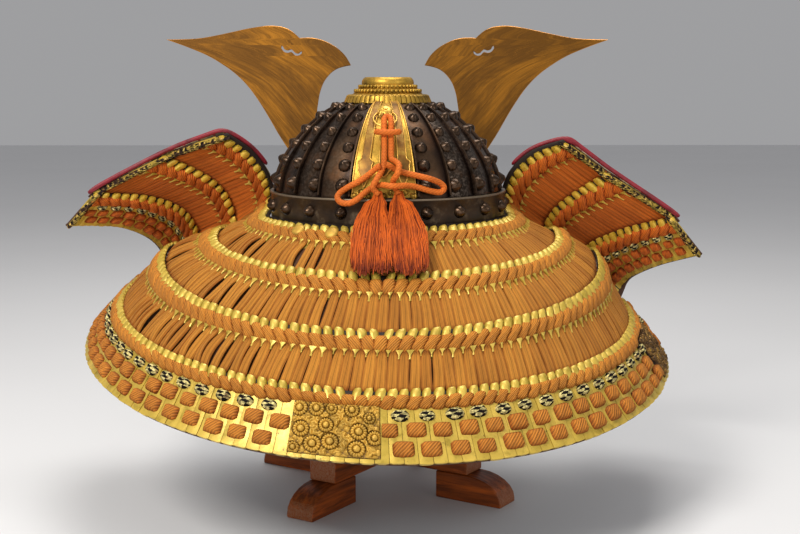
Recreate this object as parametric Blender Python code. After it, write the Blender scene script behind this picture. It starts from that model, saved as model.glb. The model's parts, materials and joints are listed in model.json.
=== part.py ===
"""Kabuto helmet with laced neck guard, turned-back wings and gilt horns, on a plain wooden cross stand.

Metres, +Z up. The face looks along +Y, so the neck guard hangs toward -Y. Shapes are worked out about the
helmet's vertical axis. AXIS then sets that axis so that the origin lies on the floor, midway between the
outermost points. Azimuths run in degrees from the middle of the back (-Y) toward +X.
"""

import math
from collections import namedtuple

import bmesh
import bpy
from mathutils import Vector

AXIS = (0.0026, 0.0549)  # the helmet's axis, seen from the middle of the whole thing
GAP = 0.0003  # between pieces that rest on each other

# ---- neck guard -------------------------------------------------------------------------------------------
# Top edge of each lame and, last, the rim: radius, height at the back, rise toward the sides, lean of the
# whole row toward +X, and how far its +X side hangs lower.
Row = namedtuple("Row", "radius height rise shift tilt")
ROWS = [
    Row(0.1078, 0.2476, 0.0000, -0.001, 0.000),
    Row(0.1497, 0.2166, 0.0154, -0.001, 0.000),
    Row(0.1915, 0.1800, 0.0340, -0.005, -0.002),
    Row(0.2230, 0.1418, 0.0305, -0.010, -0.007),
    Row(0.2560, 0.0940, 0.0400, -0.009, -0.010),
]
# Where the upper three lames fold and turn back into a wing: the fold's place, how steeply the row climbs
# from it, the place and slope (degrees) of the row's end, and how far its last stretch runs straight.
Turn = namedtuple("Turn", "fold_x fold_y fold_z climb end_x end_y end_z slope reach")
LEFT_WING = [
    Turn(0.1070, 0.050, 0.2555, 0.025, 0.1487, 0.030, 0.3161, 26, 0.025),
    Turn(0.1430, 0.070, 0.2329, 0.035, 0.2020, 0.038, 0.2975, 24, 0.035),
    Turn(0.1796, 0.085, 0.2140, 0.037, 0.2643, 0.025, 0.2648, 0, 0.050),
    Turn(0.2125, 0.095, 0.1840, 0.032, 0.2883, 0.020, 0.2340, -4, 0.045),
]
RIGHT_WING = [
    Turn(0.1070, 0.050, 0.2545, 0.025, 0.1609, 0.030, 0.3095, 8, 0.030),
    Turn(0.1465, 0.070, 0.2269, 0.020, 0.1980, 0.035, 0.2820, 35, 0.025),
    Turn(0.1823, 0.085, 0.2000, 0.012, 0.2576, 0.020, 0.2426, 8, 0.030),
    Turn(0.2230, 0.095, 0.1600, 0.014, 0.2833, 0.020, 0.2068, 14, 0.036),
]
ROW_STEP = 19.0  # degrees between the points that a row runs through at the back
BACK_STEPS = 5  # of them on each side
WING_STEPS = 3  # points from the fold to the end of a row
FOLD = BACK_STEPS + 1  # a row's parameter at the fold
WING_END = FOLD + WING_STEPS  # and at its end
SWEEP = 0.35  # how fast a row's last stretch runs back
LAME = 0.0025  # thickness of a lame
LACING = 0.0016  # thickness of the cords over it
SHINGLE = LAME + LACING + 3 * GAP  # how far a lame's foot lies behind the next lame's face
HIDDEN = 0.20  # share of a row that a lame runs on behind the next one
LACING_TOP = 0.30  # where the cords leave a lame, as a share of a row
HALF_STOPS = [step / 2 for step in range(11)] + [5.4, 5.7, 6.0, 6.3, 6.6, 7.0, 7.5, 8.0, 8.5, 9.0]
RIM_LAME = 0.0025
RIM_STEPS = (-11, 10)  # ends of the bottom lame, in half row steps from the middle of the back
FACE_DEPTH = 0.0091  # wing leather behind the laced side
FACE_LEATHER = 0.0015
FACE_ROWS = [0.02, 0.3, 1.0, 1.3, 2.0, 2.1]  # rows that the leather runs through
FACE_STOPS = [6.8, 7.0, 7.5, 8.0, 8.5, 8.97]
PIPING = 0.0022  # radius
PIPING_DEPTH = 0.0050
PIPING_CLEAR = 0.0040  # from the lames' ends to the middle of the piping
FLOWER_PLATES = [("back", -6.8, 7.4), ("right", 79.0, 6.0)]  # azimuth, half-angle
FLOWER_ROWS = (3.17, 3.93)
FLOWER_PLATE = 0.0022

# ---- bowl -------------------------------------------------------------------------------------------------
PLATES = 22
BACK_RIDGE = -2.0  # azimuth of the plate joint in the middle of the back
BOWL_WALL = 0.0022
BOWL_PROFILE = [  # radius, height, from the foot to the edge of the crown hole
    (0.0985, 0.2560),
    (0.0987, 0.2705),
    (0.0955, 0.2862),
    (0.0885, 0.3009),
    (0.0800, 0.3132),
    (0.0710, 0.3235),
    (0.0595, 0.3340),
    (0.0475, 0.3415),
    (0.0350, 0.3458),
    (0.0170, 0.3478),
]
RIDGE_HALF = 0.0011
RIDGE_HEIGHT = (0.0025, 0.0014)  # at the foot and beside the crown ornament
FLAT_RIDGE = 0.0003  # where a ridge has run out
FIRST_RIVET = 1.575  # profile parameter of the lowest rivet of a plate
LAST_RIVET = 7.1
RIVETS = 6
RIVET_RADIUS = (0.0045, 0.0032)  # lowest and highest
RIVET_FROM_RIDGE = 0.0070
RIVET_RISE = 0.90  # how far a rivet stands up, as a share of its radius
BAND_OUTER = 0.1032
BAND_WALL = 0.0026
BAND_FOOT = 0.2440
BAND_TOP = 0.2700
BAND_BEAD = 0.0010

# ---- crown ornament: radius, height, up the outside and down the hole ---------------------------------------
CROWN_PROFILE = [
    (0.0378, 0.3470),
    (0.0382, 0.3483),
    (0.0308, 0.3532),
    (0.0296, 0.3572),
    (0.0260, 0.3580),
    (0.0254, 0.3612),
    (0.0236, 0.3620),
    (0.0220, 0.3675),
    (0.0190, 0.3683),
    (0.0172, 0.3660),
    (0.0172, 0.3486),
]

# ---- gilt back plate, ring and cord --------------------------------------------------------------------------
BACK_PLATE = 0.0009
BACK_PLATE_ENDS = (-17.4, 13.4)
BACK_PLATE_LIFT = 2 * GAP
STRIP = 0.0010
STRIPS = [("left", -11.4, 1.50, 7.4), ("middle", -2.0, 2.00, 4.6), ("right", 7.4, 1.50, 7.4)]  # azimuth, ends
STRIP_HALF = 0.0026
ARROW_HALF = 0.0068
ROSETTE_PLACE = 6.12
ROSETTE_PROFILE = [(0, 0), (0.0018, 0), (0.0018, 0.0038), (0.0060, 0.0038), (0.0052, 0.0056), (0, 0.0068)]
RING_RADIUS = 0.0100
RING_WIRE = 0.0009
RING_LIFT = 0.0040
CORD = 0.0023  # radius
CORD_ROUTE = [  # from one tassel up through the ring and down to the other
    (-0.0078, -0.1095, 0.2748),
    (-0.0105, -0.1100, 0.2775),
    (-0.0122, -0.1110, 0.2812),
    (-0.0092, -0.1095, 0.2869),
    (-0.0062, -0.1040, 0.2912),
    (-0.0036, -0.0975, 0.2965),
    (-0.0030, -0.0945, 0.3031),
    (-0.0028, -0.0880, 0.3133),
    (-0.0030, -0.0810, 0.3228),
    (-0.0032, -0.0768, 0.3300),
    (-0.0028, -0.0715, 0.3345),
    (-0.0004, -0.0678, 0.3360),
    (0.0022, -0.0715, 0.3345),
    (0.0028, -0.0768, 0.3300),
    (0.0026, -0.0810, 0.3228),
    (0.0028, -0.0880, 0.3133),
    (0.0029, -0.0945, 0.3031),
    (0.0060, -0.0990, 0.3008),
    (0.0090, -0.1065, 0.2980),
    (0.0078, -0.1115, 0.2920),
    (0.0046, -0.1075, 0.2865),
    (0.0042, -0.1050, 0.2825),
    (0.0068, -0.1070, 0.2780),
    (0.0088, -0.1095, 0.2748),
]
BOW_ROUTE = [  # the closed bow across it
    (-0.0015, -0.1040, 0.2985),
    (0.0058, -0.1005, 0.2945),
    (0.0125, -0.1002, 0.2918),
    (0.0220, -0.0998, 0.2895),
    (0.0343, -0.0992, 0.2865),
    (0.0426, -0.0955, 0.2828),
    (0.0458, -0.0945, 0.2788),
    (0.0426, -0.0965, 0.2755),
    (0.0343, -0.1000, 0.2768),
    (0.0245, -0.1020, 0.2798),
    (0.0165, -0.1050, 0.2815),
    (0.0100, -0.1100, 0.2818),
    (0.0025, -0.1130, 0.2818),
    (-0.0055, -0.1070, 0.2822),
    (-0.0130, -0.1028, 0.2795),
    (-0.0190, -0.1040, 0.2755),
    (-0.0250, -0.1066, 0.2705),
    (-0.0316, -0.1075, 0.2675),
    (-0.0381, -0.1050, 0.2680),
    (-0.0410, -0.1015, 0.2715),
    (-0.0383, -0.0985, 0.2758),
    (-0.0309, -0.0988, 0.2806),
    (-0.0211, -0.0995, 0.2860),
    (-0.0130, -0.1010, 0.2922),
    (-0.0075, -0.1030, 0.2968),
]
WRAP_ROUTE = [  # the turn that binds the two strands below the ring
    (-0.0088, -0.0800, 0.3238),
    (-0.0088, -0.0838, 0.3240),
    (-0.0052, -0.0868, 0.3238),
    (0.0000, -0.0874, 0.3236),
    (0.0052, -0.0868, 0.3238),
    (0.0088, -0.0838, 0.3240),
    (0.0088, -0.0800, 0.3238),
]
# Sections down a tassel: how far down it, how far it stands out from the axis, half width, half thickness
Tuft = namedtuple("Tuft", "height away half_width half_depth")
TUFTS = [
    Tuft(0.2712, 0.1105, 0.0022, 0.0022),
    Tuft(0.2690, 0.1112, 0.0048, 0.0040),
    Tuft(0.2640, 0.1128, 0.0064, 0.0052),
    Tuft(0.2585, 0.1160, 0.0088, 0.0060),
    Tuft(0.2500, 0.1235, 0.0118, 0.0068),
    Tuft(0.2400, 0.1345, 0.0136, 0.0070),
    Tuft(0.2290, 0.1465, 0.0146, 0.0070),
    Tuft(0.2180, 0.1580, 0.0148, 0.0066),
]
TASSEL_TOPS = (-0.0080, 0.0088)
TASSEL_FEET = (-0.0150, 0.0155)
LOCKS = 7

# ---- horns, their mount and the visor --------------------------------------------------------------------------
HORN_Y = 0.1250
HORN_LEAN = math.radians(6)
HORN_PLATE = 0.0018
HORN_HEEL = 0.2640
HORN_OUTLINE = [  # across, height, and S for a smooth point or C for a corner
    (0.0300, 0.2640, "C"),
    (0.0500, 0.2640, "C"),
    (0.0760, 0.2740, "S"),
    (0.0990, 0.3005, "S"),
    (0.1150, 0.3270, "S"),
    (0.1280, 0.3480, "S"),
    (0.1425, 0.3660, "S"),
    (0.1615, 0.3810, "S"),
    (0.1810, 0.3918, "S"),
    (0.2160, 0.4050, "C"),
    (0.1840, 0.4062, "S"),
    (0.1510, 0.4125, "S"),
    (0.1255, 0.4175, "S"),
    (0.1060, 0.4178, "S"),
    (0.0950, 0.4140, "S"),
    (0.0860, 0.4065, "C"),
    (0.0725, 0.4065, "S"),
    (0.0560, 0.4010, "S"),
    (0.0420, 0.3900, "S"),
    (0.0360, 0.3800, "C"),
    (0.0495, 0.3765, "S"),
    (0.0595, 0.3680, "S"),
    (0.0650, 0.3575, "S"),
    (0.0680, 0.3440, "S"),
    (0.0690, 0.3280, "S"),
    (0.0600, 0.2980, "S"),
    (0.0420, 0.2760, "S"),
]
HORN_SLOT = [  # the pierced double wave
    (0.1035, 0.3990, "S"),
    (0.1010, 0.3958, "S"),
    (0.0972, 0.3945, "S"),
    (0.0940, 0.3955, "S"),
    (0.0905, 0.3922, "S"),
    (0.0868, 0.3915, "S"),
    (0.0838, 0.3935, "S"),
    (0.0868, 0.3897, "S"),
    (0.0910, 0.3902, "S"),
    (0.0940, 0.3930, "S"),
    (0.0972, 0.3922, "S"),
    (0.1018, 0.3938, "S"),
]
MOUNT_HALF = 0.0560
MOUNT_TOP = 0.2900
MOUNT_ARCH = 0.0140  # how much lower its ends are than its middle
MOUNT_PLATE = 0.0020
VISOR_HALF = 66.0  # degrees to each side of the front
VISOR_ROOT = (0.1038, 0.2560)  # radius, height
VISOR_REACH = 0.0420  # at the front
VISOR_ENDS = 0.0100  # and at its ends
VISOR_DROP = 0.0200
VISOR_WALL = 0.0024

# ---- stand ------------------------------------------------------------------------------------------------------
STAND_MIDDLE = (-0.0045, 0.0060)
STAND_TURN = 57.0  # degrees from -X toward -Y, the way that the first bar's front end points
ARM = 0.1290  # from the middle to the end of a foot
BAR_HALF = 0.0135
BAR_HEIGHT = 0.0250
FOOT_LENGTH = 0.0650
FOOT_HEIGHT = 0.0243
FOOT_ROUND = 0.0335
POST_RADIUS = 0.0120
CAP_FOOT = 0.3080
CAP_RADIUS = 0.0420
CAP_TOP = 0.3458

BEND = 6  # faces in a rounded edge


def clear_scene():
    for thing in list(bpy.data.objects):
        bpy.data.objects.remove(thing, do_unlink=True)


def material(name, colour, roughness, metallic=0.0):
    found = bpy.data.materials.get(name)
    if found:
        return found
    made = bpy.data.materials.new(name)
    made.use_nodes = True
    shader = made.node_tree.nodes["Principled BSDF"]
    shader.inputs["Base Color"].default_value = (*colour, 1.0)
    shader.inputs["Roughness"].default_value = roughness
    shader.inputs["Metallic"].default_value = metallic
    return made


def add(name, data, finish, root):
    thing = bpy.data.objects.new(name, data)
    bpy.context.scene.collection.objects.link(thing)
    thing.parent = root
    data.materials.append(finish)
    return thing


def add_mesh(name, bm, finish, root):
    """Closes the book on a bmesh: normals out, smooth where the surface is round."""
    bmesh.ops.recalc_face_normals(bm, faces=bm.faces)
    if bm.calc_volume(signed=True) < 0:
        bmesh.ops.reverse_faces(bm, faces=bm.faces)
    mesh = bpy.data.meshes.new(name)
    bm.to_mesh(mesh)
    bm.free()
    mesh.shade_smooth()
    mesh.set_sharp_from_angle(angle=math.radians(35))
    return add(name, mesh, finish, root)


def polar(azimuth, radius, height):
    angle = math.radians(azimuth)
    return Vector((radius * math.sin(angle), -radius * math.cos(angle), height))


def smooth(points, place):
    """A point of the Catmull-Rom curve through points, run on straight past its ends."""
    last = len(points) - 1
    start = min(max(int(math.floor(place)), 0), last - 1)
    part = place - start
    before = points[start - 1] if start else points[0] * 2 - points[1]
    after = points[start + 2] if start + 2 <= last else points[last] * 2 - points[last - 1]
    here, there = points[start], points[start + 1]
    if part < 0:
        return here + (there - before) * 0.5 * part
    if part > 1:
        return there + (after - here) * 0.5 * (part - 1)
    return here + 0.5 * part * (
        there - before
        + part * (2 * before - 5 * here + 4 * there - after + part * (3 * (here - there) + after - before))
    )


def blend(table, place, count):
    """Rows of a table mixed at a row parameter, run on in a straight line past the first and last."""
    start = min(max(int(math.floor(place)), 0), count - 2)
    part = place - start
    return type(table[0])(*(a + (b - a) * part for a, b in zip(table[start], table[start + 1])))


def back_point(row, azimuth):
    angle = math.radians(azimuth)
    height = row.height + row.rise * (1 - math.cos(angle)) + row.tilt * math.sin(angle)
    return polar(azimuth, row.radius, height) + Vector((row.shift, 0, 0))


def wing_points(turn, side):
    """The fold and the points after it, on a Bezier arc that climbs from the fold and leans out to the end."""
    fold = Vector((side * turn.fold_x, turn.fold_y, turn.fold_z))
    end = Vector((side * turn.end_x, turn.end_y, turn.end_z))
    slope = math.radians(turn.slope)
    climb = fold + Vector((0, 0, turn.climb))
    lean = end - turn.reach * Vector((side * math.cos(slope), -SWEEP, math.sin(slope)))
    points = [fold]
    for step in range(1, WING_STEPS + 1):
        s = step / WING_STEPS
        points.append(
            fold * (1 - s) ** 3 + climb * 3 * s * (1 - s) ** 2 + lean * 3 * s * s * (1 - s) + end * s**3
        )
    return points


def row_points(place):
    """The points that a row of the upper three lames runs through, from the left wing's end to the right's."""
    row = blend(ROWS, place, 4)
    left = wing_points(blend(LEFT_WING, place, 4), -1)
    right = wing_points(blend(RIGHT_WING, place, 4), 1)
    back = [back_point(row, ROW_STEP * step) for step in range(-BACK_STEPS, BACK_STEPS + 1)]
    return left[::-1] + back + right


def guard_base(place, along):
    return smooth(row_points(place), along + WING_END)


def rim_base(place, azimuth):
    return back_point(blend(ROWS, place, 5), azimuth)


def sunk(base, place, along, depth, step):
    """A point of a surface moved inwards by depth."""
    point = base(place, along)
    down = base(place + 0.02, along) - point
    across = base(place, along + step) - base(place, along - step)
    return point - down.cross(across).normalized() * depth


def guard_point(place, along, depth=0.0):
    return sunk(guard_base, place, along, depth, 0.02)


def rim_point(place, azimuth, depth=0.0):
    return sunk(rim_base, place, azimuth, depth, 0.2)


def wing_share(along):
    """0 at the back, rising to 1 past the fold."""
    part = min(max((abs(along) - FOLD + 0.4) / 1.2, 0.0), 1.0)
    return part * part * (3 - 2 * part)


def sheet(name, point, alongs, places, depth, thickness, finish, root):
    """A curved sheet. Its face is a grid over alongs and places(along), sunk by depth(place, along)."""
    bm = bmesh.new()
    inner = bm.verts.layers.int.new("inner")
    home = bm.verts.layers.float_vector.new("home")
    columns, rows = len(alongs) - 1, len(places(alongs[0])) - 1
    bmesh.ops.create_grid(bm, x_segments=columns, y_segments=rows, size=0.5)
    for vert in bm.verts:
        vert[home] = vert.co
    extruded = bmesh.ops.extrude_face_region(bm, geom=bm.faces[:])
    for item in extruded["geom"]:
        if isinstance(item, bmesh.types.BMVert):
            item[inner] = 1
    for vert in bm.verts:
        along = alongs[round((vert[home].x + 0.5) * columns)]
        place = places(along)[round((0.5 - vert[home].y) * rows)]
        vert.co = point(place, along, depth(place, along) + thickness * vert[inner])
    return add_mesh(name, bm, finish, root)


def between(start, end, count):
    return [start + (end - start) * step / count for step in range(count + 1)]


def tube(name, route, radius, count, finish, root, closed=False, sides=2):
    """A round bar along the smooth curve through route."""
    points = [Vector(point) for point in route]
    if closed:
        points = points[-2:] + points + points[:3]
        stops = [2 + len(route) * step / count for step in range(count)]
    else:
        stops = [(len(points) - 1) * step / (count - 1) for step in range(count)]
    curve = bpy.data.curves.new(name, "CURVE")
    curve.dimensions = "3D"
    curve.bevel_depth = radius
    curve.bevel_resolution = sides
    curve.use_fill_caps = True
    spline = curve.splines.new("POLY")
    spline.points.add(count - 1)
    for point, stop in zip(spline.points, stops):
        point.co = (*smooth(points, stop), 1.0)
    spline.use_cyclic_u = closed
    return add(name, curve, finish, root)


def turned(name, profile, sides, finish, root, shape=None):
    """A profile of radius and height spun about the axis: a ring, or a solid if it starts on the axis."""
    bm = bmesh.new()
    corners = [bm.verts.new((radius, 0, height)) for radius, height in profile]
    ends = corners[1:] + (corners[:1] if profile[0][0] else [])
    edges = [bm.edges.new((a, b)) for a, b in zip(corners, ends)]
    bmesh.ops.spin(
        bm, geom=corners + edges, axis=(0, 0, 1), cent=(0, 0, 0), angle=math.tau, steps=sides, use_merge=True
    )
    bmesh.ops.remove_doubles(bm, verts=bm.verts, dist=1e-6)
    if shape:
        for vert in bm.verts:
            vert.co = shape(vert.co)
    return add_mesh(name, bm, finish, root)


def cut(thing, cutter):
    """Takes the cutter's shape out of the thing, and keeps the cutter as a wire guide."""
    cutter.hide_render = True
    cutter.display_type = "WIRE"
    modifier = thing.modifiers.new("cut", "BOOLEAN")
    modifier.operation = "DIFFERENCE"
    modifier.solver = "EXACT"
    modifier.object = cutter


# ---- neck guard and wings ------------------------------------------------------------------------------------


def add_lames(root, lacquer, silk):
    stops = [-stop for stop in HALF_STOPS[:0:-1]] + HALF_STOPS
    for lame in range(3):

        def lame_places(along, lame=lame):
            share = wing_share(along)
            hidden = HIDDEN * (1 - 0.8 * share) if lame == 2 else HIDDEN
            return [lame, lame + LACING_TOP, lame + 1, lame + 1 + hidden]

        def lacing_places(along, lame=lame):
            return [lame + LACING_TOP, lame + 1]

        def lame_depth(place, along, lame=lame):
            return SHINGLE * max(place - lame, 0.0)

        def lacing_depth(place, along, lame=lame):
            return SHINGLE * (place - lame) - GAP - LACING

        number = lame + 1
        sheet(f"neck_lame_{number}", guard_point, stops, lame_places, lame_depth, LAME, lacquer, root)
        sheet(f"lacing_{number}", guard_point, stops, lacing_places, lacing_depth, LACING, silk, root)


def add_rim_lame(root, lacquer, gilt):
    first, last = RIM_STEPS
    stops = [ROW_STEP / 2 * step for step in range(first, last + 1)]
    sheet("neck_lame_4", rim_point, stops, lambda along: [3, 3.5, 4], lambda *at: 0.0, RIM_LAME, lacquer, root)
    for name, azimuth, half in FLOWER_PLATES:
        stops = between(azimuth - half, azimuth + half, 4)
        places = lambda along: FLOWER_ROWS
        depth = lambda *at: -GAP - FLOWER_PLATE
        sheet(f"flower_plate_{name}", rim_point, stops, places, depth, FLOWER_PLATE, gilt, root)


def piping_point(side, place):
    """A point of the piping's middle, PIPING_CLEAR outside the lames' ends."""
    point = guard_point(place, side * WING_END, PIPING_DEPTH)
    across = guard_point(place, side * (WING_END + 0.05), PIPING_DEPTH) - point
    return point + across.normalized() * PIPING_CLEAR


def add_wing_faces(root, leather, piping):
    for name, side in (("left", -1), ("right", 1)):
        stops = sorted(side * stop for stop in FACE_STOPS)
        places = lambda along: FACE_ROWS
        depth = lambda *at: FACE_DEPTH
        sheet(f"wing_leather_{name}", guard_point, stops, places, depth, FACE_LEATHER, leather, root)
        row = (guard_point(0, side * 8.0) - guard_point(1, side * 8.0)).length
        over = -PIPING_CLEAR / row
        route = [guard_point(over, side * along, PIPING_DEPTH) for along in (7.2, 7.6, 8.0, 8.4, 8.8)]
        route.append((piping_point(side, 0) + piping_point(side, over)) / 2)
        route += [piping_point(side, place) for place in (0.15, 0.4, 0.7, 1.0, 1.3, 1.6, 1.9, 2.1)]
        tube(f"wing_piping_{name}", route, PIPING, 18, piping, root)


# ---- bowl ------------------------------------------------------------------------------------------------------


def bowl_point(azimuth, place, lift=0.0):
    """A point of the bowl's outside at a profile parameter, raised by lift."""
    profile = [Vector((radius, height)) for radius, height in BOWL_PROFILE]
    at = smooth(profile, place)
    run = smooth(profile, place + 0.02) - smooth(profile, place - 0.02)
    out = Vector((run.y, -run.x)).normalized()
    return polar(azimuth, at.x + out.x * lift, at.y + out.y * lift)


def rivet_place(number):
    return FIRST_RIVET + (LAST_RIVET - FIRST_RIVET) * number / (RIVETS - 1)


def rivet_radius(number):
    low, high = RIVET_RADIUS
    return low + (high - low) * number / (RIVETS - 1)


def ridge_azimuths():
    return [BACK_RIDGE + 360 / PLATES * number for number in range(PLATES)]


def bowl_rings():
    """Profile parameters of the bowl's rings: its foot, the bounds of the rows of rivets, and the crown."""
    half_step = (LAST_RIVET - FIRST_RIVET) / (RIVETS - 1) / 2
    return [0.0, 0.985] + between(FIRST_RIVET - half_step, LAST_RIVET + half_step, RIVETS) + [8.3, 9.0]


def plated_dome():
    """The bowl as a closed solid: plates with a standing ridge at each joint, and the rivets on the plates."""
    rings = bowl_rings()
    first, last = 2, len(rings) - 3  # rings between which the ridges stand up
    bm = bmesh.new()
    loops = []
    for ring, place in enumerate(rings):
        low, high = RIDGE_HEIGHT
        raised = low + (high - low) * (ring - first) / (last - first) if first <= ring <= last else FLAT_RIDGE
        foot = math.degrees(RIDGE_HALF / bowl_point(0, place).xy.length)
        loop = []
        for number, azimuth in enumerate(ridge_azimuths()):
            lift = raised if number else FLAT_RIDGE
            for turn, height in ((-foot, 0), (0, lift), (foot, 0)):
                loop.append(bm.verts.new(bowl_point(azimuth + turn, place, height)))
        loops.append(loop)
    count = len(loops[0])
    plates = {}
    for ring in range(len(rings) - 1):
        below, above = loops[ring], loops[ring + 1]
        for column in range(count):
            after = (column + 1) % count
            face = bm.faces.new((below[column], below[after], above[after], above[column]))
            if column % 3 == 2:
                plates[ring - first, column // 3] = face
    bm.faces.new(loops[0][::-1])
    bm.faces.new(loops[-1])
    for (number, plate), face in plates.items():
        if 0 <= number < RIVETS and plate not in (0, PLATES - 1):
            raise_rivet(bm, face, number, plate)
    return bm


def raise_rivet(bm, face, number, plate):
    """Insets a plate's face to a rivet's foot beside the ridge nearer to the back, and pulls it to a point."""
    side = 1 if plate < PLATES / 2 else -1
    nearer = ridge_azimuths()[plate if side > 0 else (plate + 1) % PLATES]
    place = rivet_place(number)
    size = rivet_radius(number)
    azimuth = nearer + side * math.degrees(RIVET_FROM_RIDGE / bowl_point(0, place).xy.length)
    middle = bowl_point(azimuth, place)
    up = bowl_point(azimuth, place, 1.0) - middle
    across = up.cross(Vector((0, 0, 1))).normalized()
    climb = across.cross(up).normalized()
    bmesh.ops.inset_individual(bm, faces=[face], thickness=size * 0.1)
    centre = face.calc_center_median()
    for vert in face.verts:
        way = vert.co - centre
        x = math.copysign(size * 0.85, way.dot(across))
        y = math.copysign(size * 0.85, way.dot(climb))
        vert.co = middle + across * x + climb * y
    tip = bmesh.ops.poke(bm, faces=[face])["verts"][0]
    tip.co = middle + up * size * RIVET_RISE


def add_bowl(root, iron, band_iron):
    bowl = add_mesh("bowl", plated_dome(), iron, root)
    inside = []
    profile = [Vector((radius, height)) for radius, height in BOWL_PROFILE]
    for place in range(len(BOWL_PROFILE) - 1):
        at = bowl_point(0, place, -BOWL_WALL)
        inside.append((at.xy.length, at.z))
    hole = profile[-1].x - 0.0012
    inside[0] = (inside[0][0], profile[0].y - 0.01)
    ceiling = profile[-1].y - BOWL_WALL
    cutter_profile = [(0, inside[0][1])] + inside + [(hole, ceiling), (hole, 0.36), (0, 0.36)]
    cutter = turned("bowl_inside", cutter_profile, 24, iron, root)
    cut(bowl, cutter)
    inner = BAND_OUTER - BAND_WALL
    band = [
        (inner, BAND_FOOT),
        (BAND_OUTER, BAND_FOOT),
        (BAND_OUTER, BAND_TOP - 0.0018),
        (BAND_OUTER + BAND_BEAD, BAND_TOP - 0.0012),
        (BAND_OUTER + BAND_BEAD, BAND_TOP),
        (inner, BAND_TOP),
    ]
    turned("bowl_band", band, 36, band_iron, root)


def add_crown(root, gilt):
    turned("crown_ornament", CROWN_PROFILE, 28, gilt, root)


# ---- gilt back plate, ring, cord -----------------------------------------------------------------------------


def bowl_sunk(place, along, depth):
    return bowl_point(along, place, -depth)


def add_back_plate(root, gilt):
    rows = [place for place in bowl_rings() if 1 < place < 8][::-1]
    stops = between(*BACK_PLATE_ENDS, 6)
    depth = lambda *at: -BACK_PLATE_LIFT - BACK_PLATE
    sheet("back_plate", bowl_sunk, stops, lambda along: rows, depth, BACK_PLATE, gilt, root)
    for name, azimuth, tip, top in STRIPS:
        neck = tip + 1.1
        straight = [top] + [place for place in rows if neck + 0.1 < place < top] + [neck]
        widths = [STRIP_HALF * (0.5 if place > 5.5 else 0.8 if place > 4.5 else 1.0) for place in straight]
        places = straight + [tip + 0.95, tip + 0.7, tip]
        widths += [ARROW_HALF, ARROW_HALF * 0.7, 0.0006]
        add_arrow_strip(f"arrow_strip_{name}", azimuth, list(zip(places, widths)), gilt, root)


def add_arrow_strip(name, azimuth, sections, finish, root):
    """A raised strip that runs down the back plate and ends in an arrow's head."""
    half_width = dict(sections)

    def point(place, side, depth):
        turn = math.degrees(side * half_width[place] / bowl_point(0, place).xy.length)
        return bowl_point(azimuth + turn, place, -depth)

    places = [place for place, width in sections]
    depth = lambda *at: -BACK_PLATE_LIFT - BACK_PLATE - 2 * GAP - STRIP
    sheet(name, point, [-1, 0, 1], lambda side: places, depth, STRIP, finish, root)


def add_ring(root, gilt):
    """A rosette on a stem, and a loose ring that hangs round the stem."""
    foot = bowl_point(BACK_RIDGE, ROSETTE_PLACE, BACK_PLATE_LIFT + BACK_PLATE + GAP)
    out = (bowl_point(BACK_RIDGE, ROSETTE_PLACE, 1.0) - bowl_point(BACK_RIDGE, ROSETTE_PLACE)).normalized()
    facing = Vector((0, 0, 1)).rotation_difference(out)
    turned("ring_rosette", ROSETTE_PROFILE, 12, gilt, root, lambda point: facing @ point + foot)
    side = out.cross(Vector((0, 0, 1))).normalized()
    hang = out.cross(side).normalized()
    if hang.z > 0:
        hang = -hang
    drop = RING_RADIUS - ROSETTE_PROFILE[1][0] - RING_WIRE - GAP
    middle = foot + out * (RING_LIFT - BACK_PLATE_LIFT - BACK_PLATE - GAP) + hang * drop
    count = 16
    route = []
    for step in range(count):
        angle = math.tau * step / count
        route.append(middle + RING_RADIUS * (side * math.cos(angle) + hang * math.sin(angle)))
    tube("cord_ring", route, RING_WIRE, 16, gilt, root, closed=True, sides=1)


def add_tassel(name, side, finish, root):
    """A head and a flat brush in locks, down the slope of the neck guard."""
    bm = bmesh.new()
    sides = LOCKS * 2
    rings = []
    last = len(TUFTS) - 1
    for number, tuft in enumerate(TUFTS):
        share = number / last
        middle = TASSEL_TOPS[side] + (TASSEL_FEET[side] - TASSEL_TOPS[side]) * share**0.7
        ring = []
        for step in range(sides):
            angle = math.tau * step / sides
            lock = 1 - (0.10 * share if step % 2 else 0.0)
            x = middle + tuft.half_width * lock * math.cos(angle)
            y = -tuft.away + tuft.half_depth * lock * math.sin(angle)
            ring.append(bm.verts.new((x, y, tuft.height + 0.35 * (y + tuft.away))))
        rings.append(ring)
    for upper, lower in zip(rings, rings[1:]):
        for step in range(sides):
            after = (step + 1) % sides
            bm.faces.new((upper[step], lower[step], lower[after], upper[after]))
    bm.faces.new(rings[0])
    bm.faces.new(rings[-1][::-1])
    return add_mesh(name, bm, finish, root)


def add_cords(root, silk):
    tube("bow_cord", CORD_ROUTE, CORD, 34, silk, root)
    tube("bow_loops", BOW_ROUTE, CORD, 36, silk, root, closed=True)
    tube("bow_wrap", WRAP_ROUTE, CORD, 13, silk, root)
    add_tassel("tassel_left", 0, silk, root)
    add_tassel("tassel_right", 1, silk, root)


# ---- visor and horns --------------------------------------------------------------------------------------------


def outline(curve, table, side):
    """A closed curve through a table's points, with sharp ones where the table says C."""
    spline = curve.splines.new("BEZIER")
    spline.bezier_points.add(len(table) - 1)
    for point, (across, height, kind) in zip(spline.bezier_points, table):
        point.co = (side * across, height - HORN_HEEL, 0)
        handle = "AUTO" if kind == "S" else "VECTOR"
        point.handle_left_type = handle
        point.handle_right_type = handle
    spline.use_cyclic_u = True
    spline.resolution_u = 2


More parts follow.
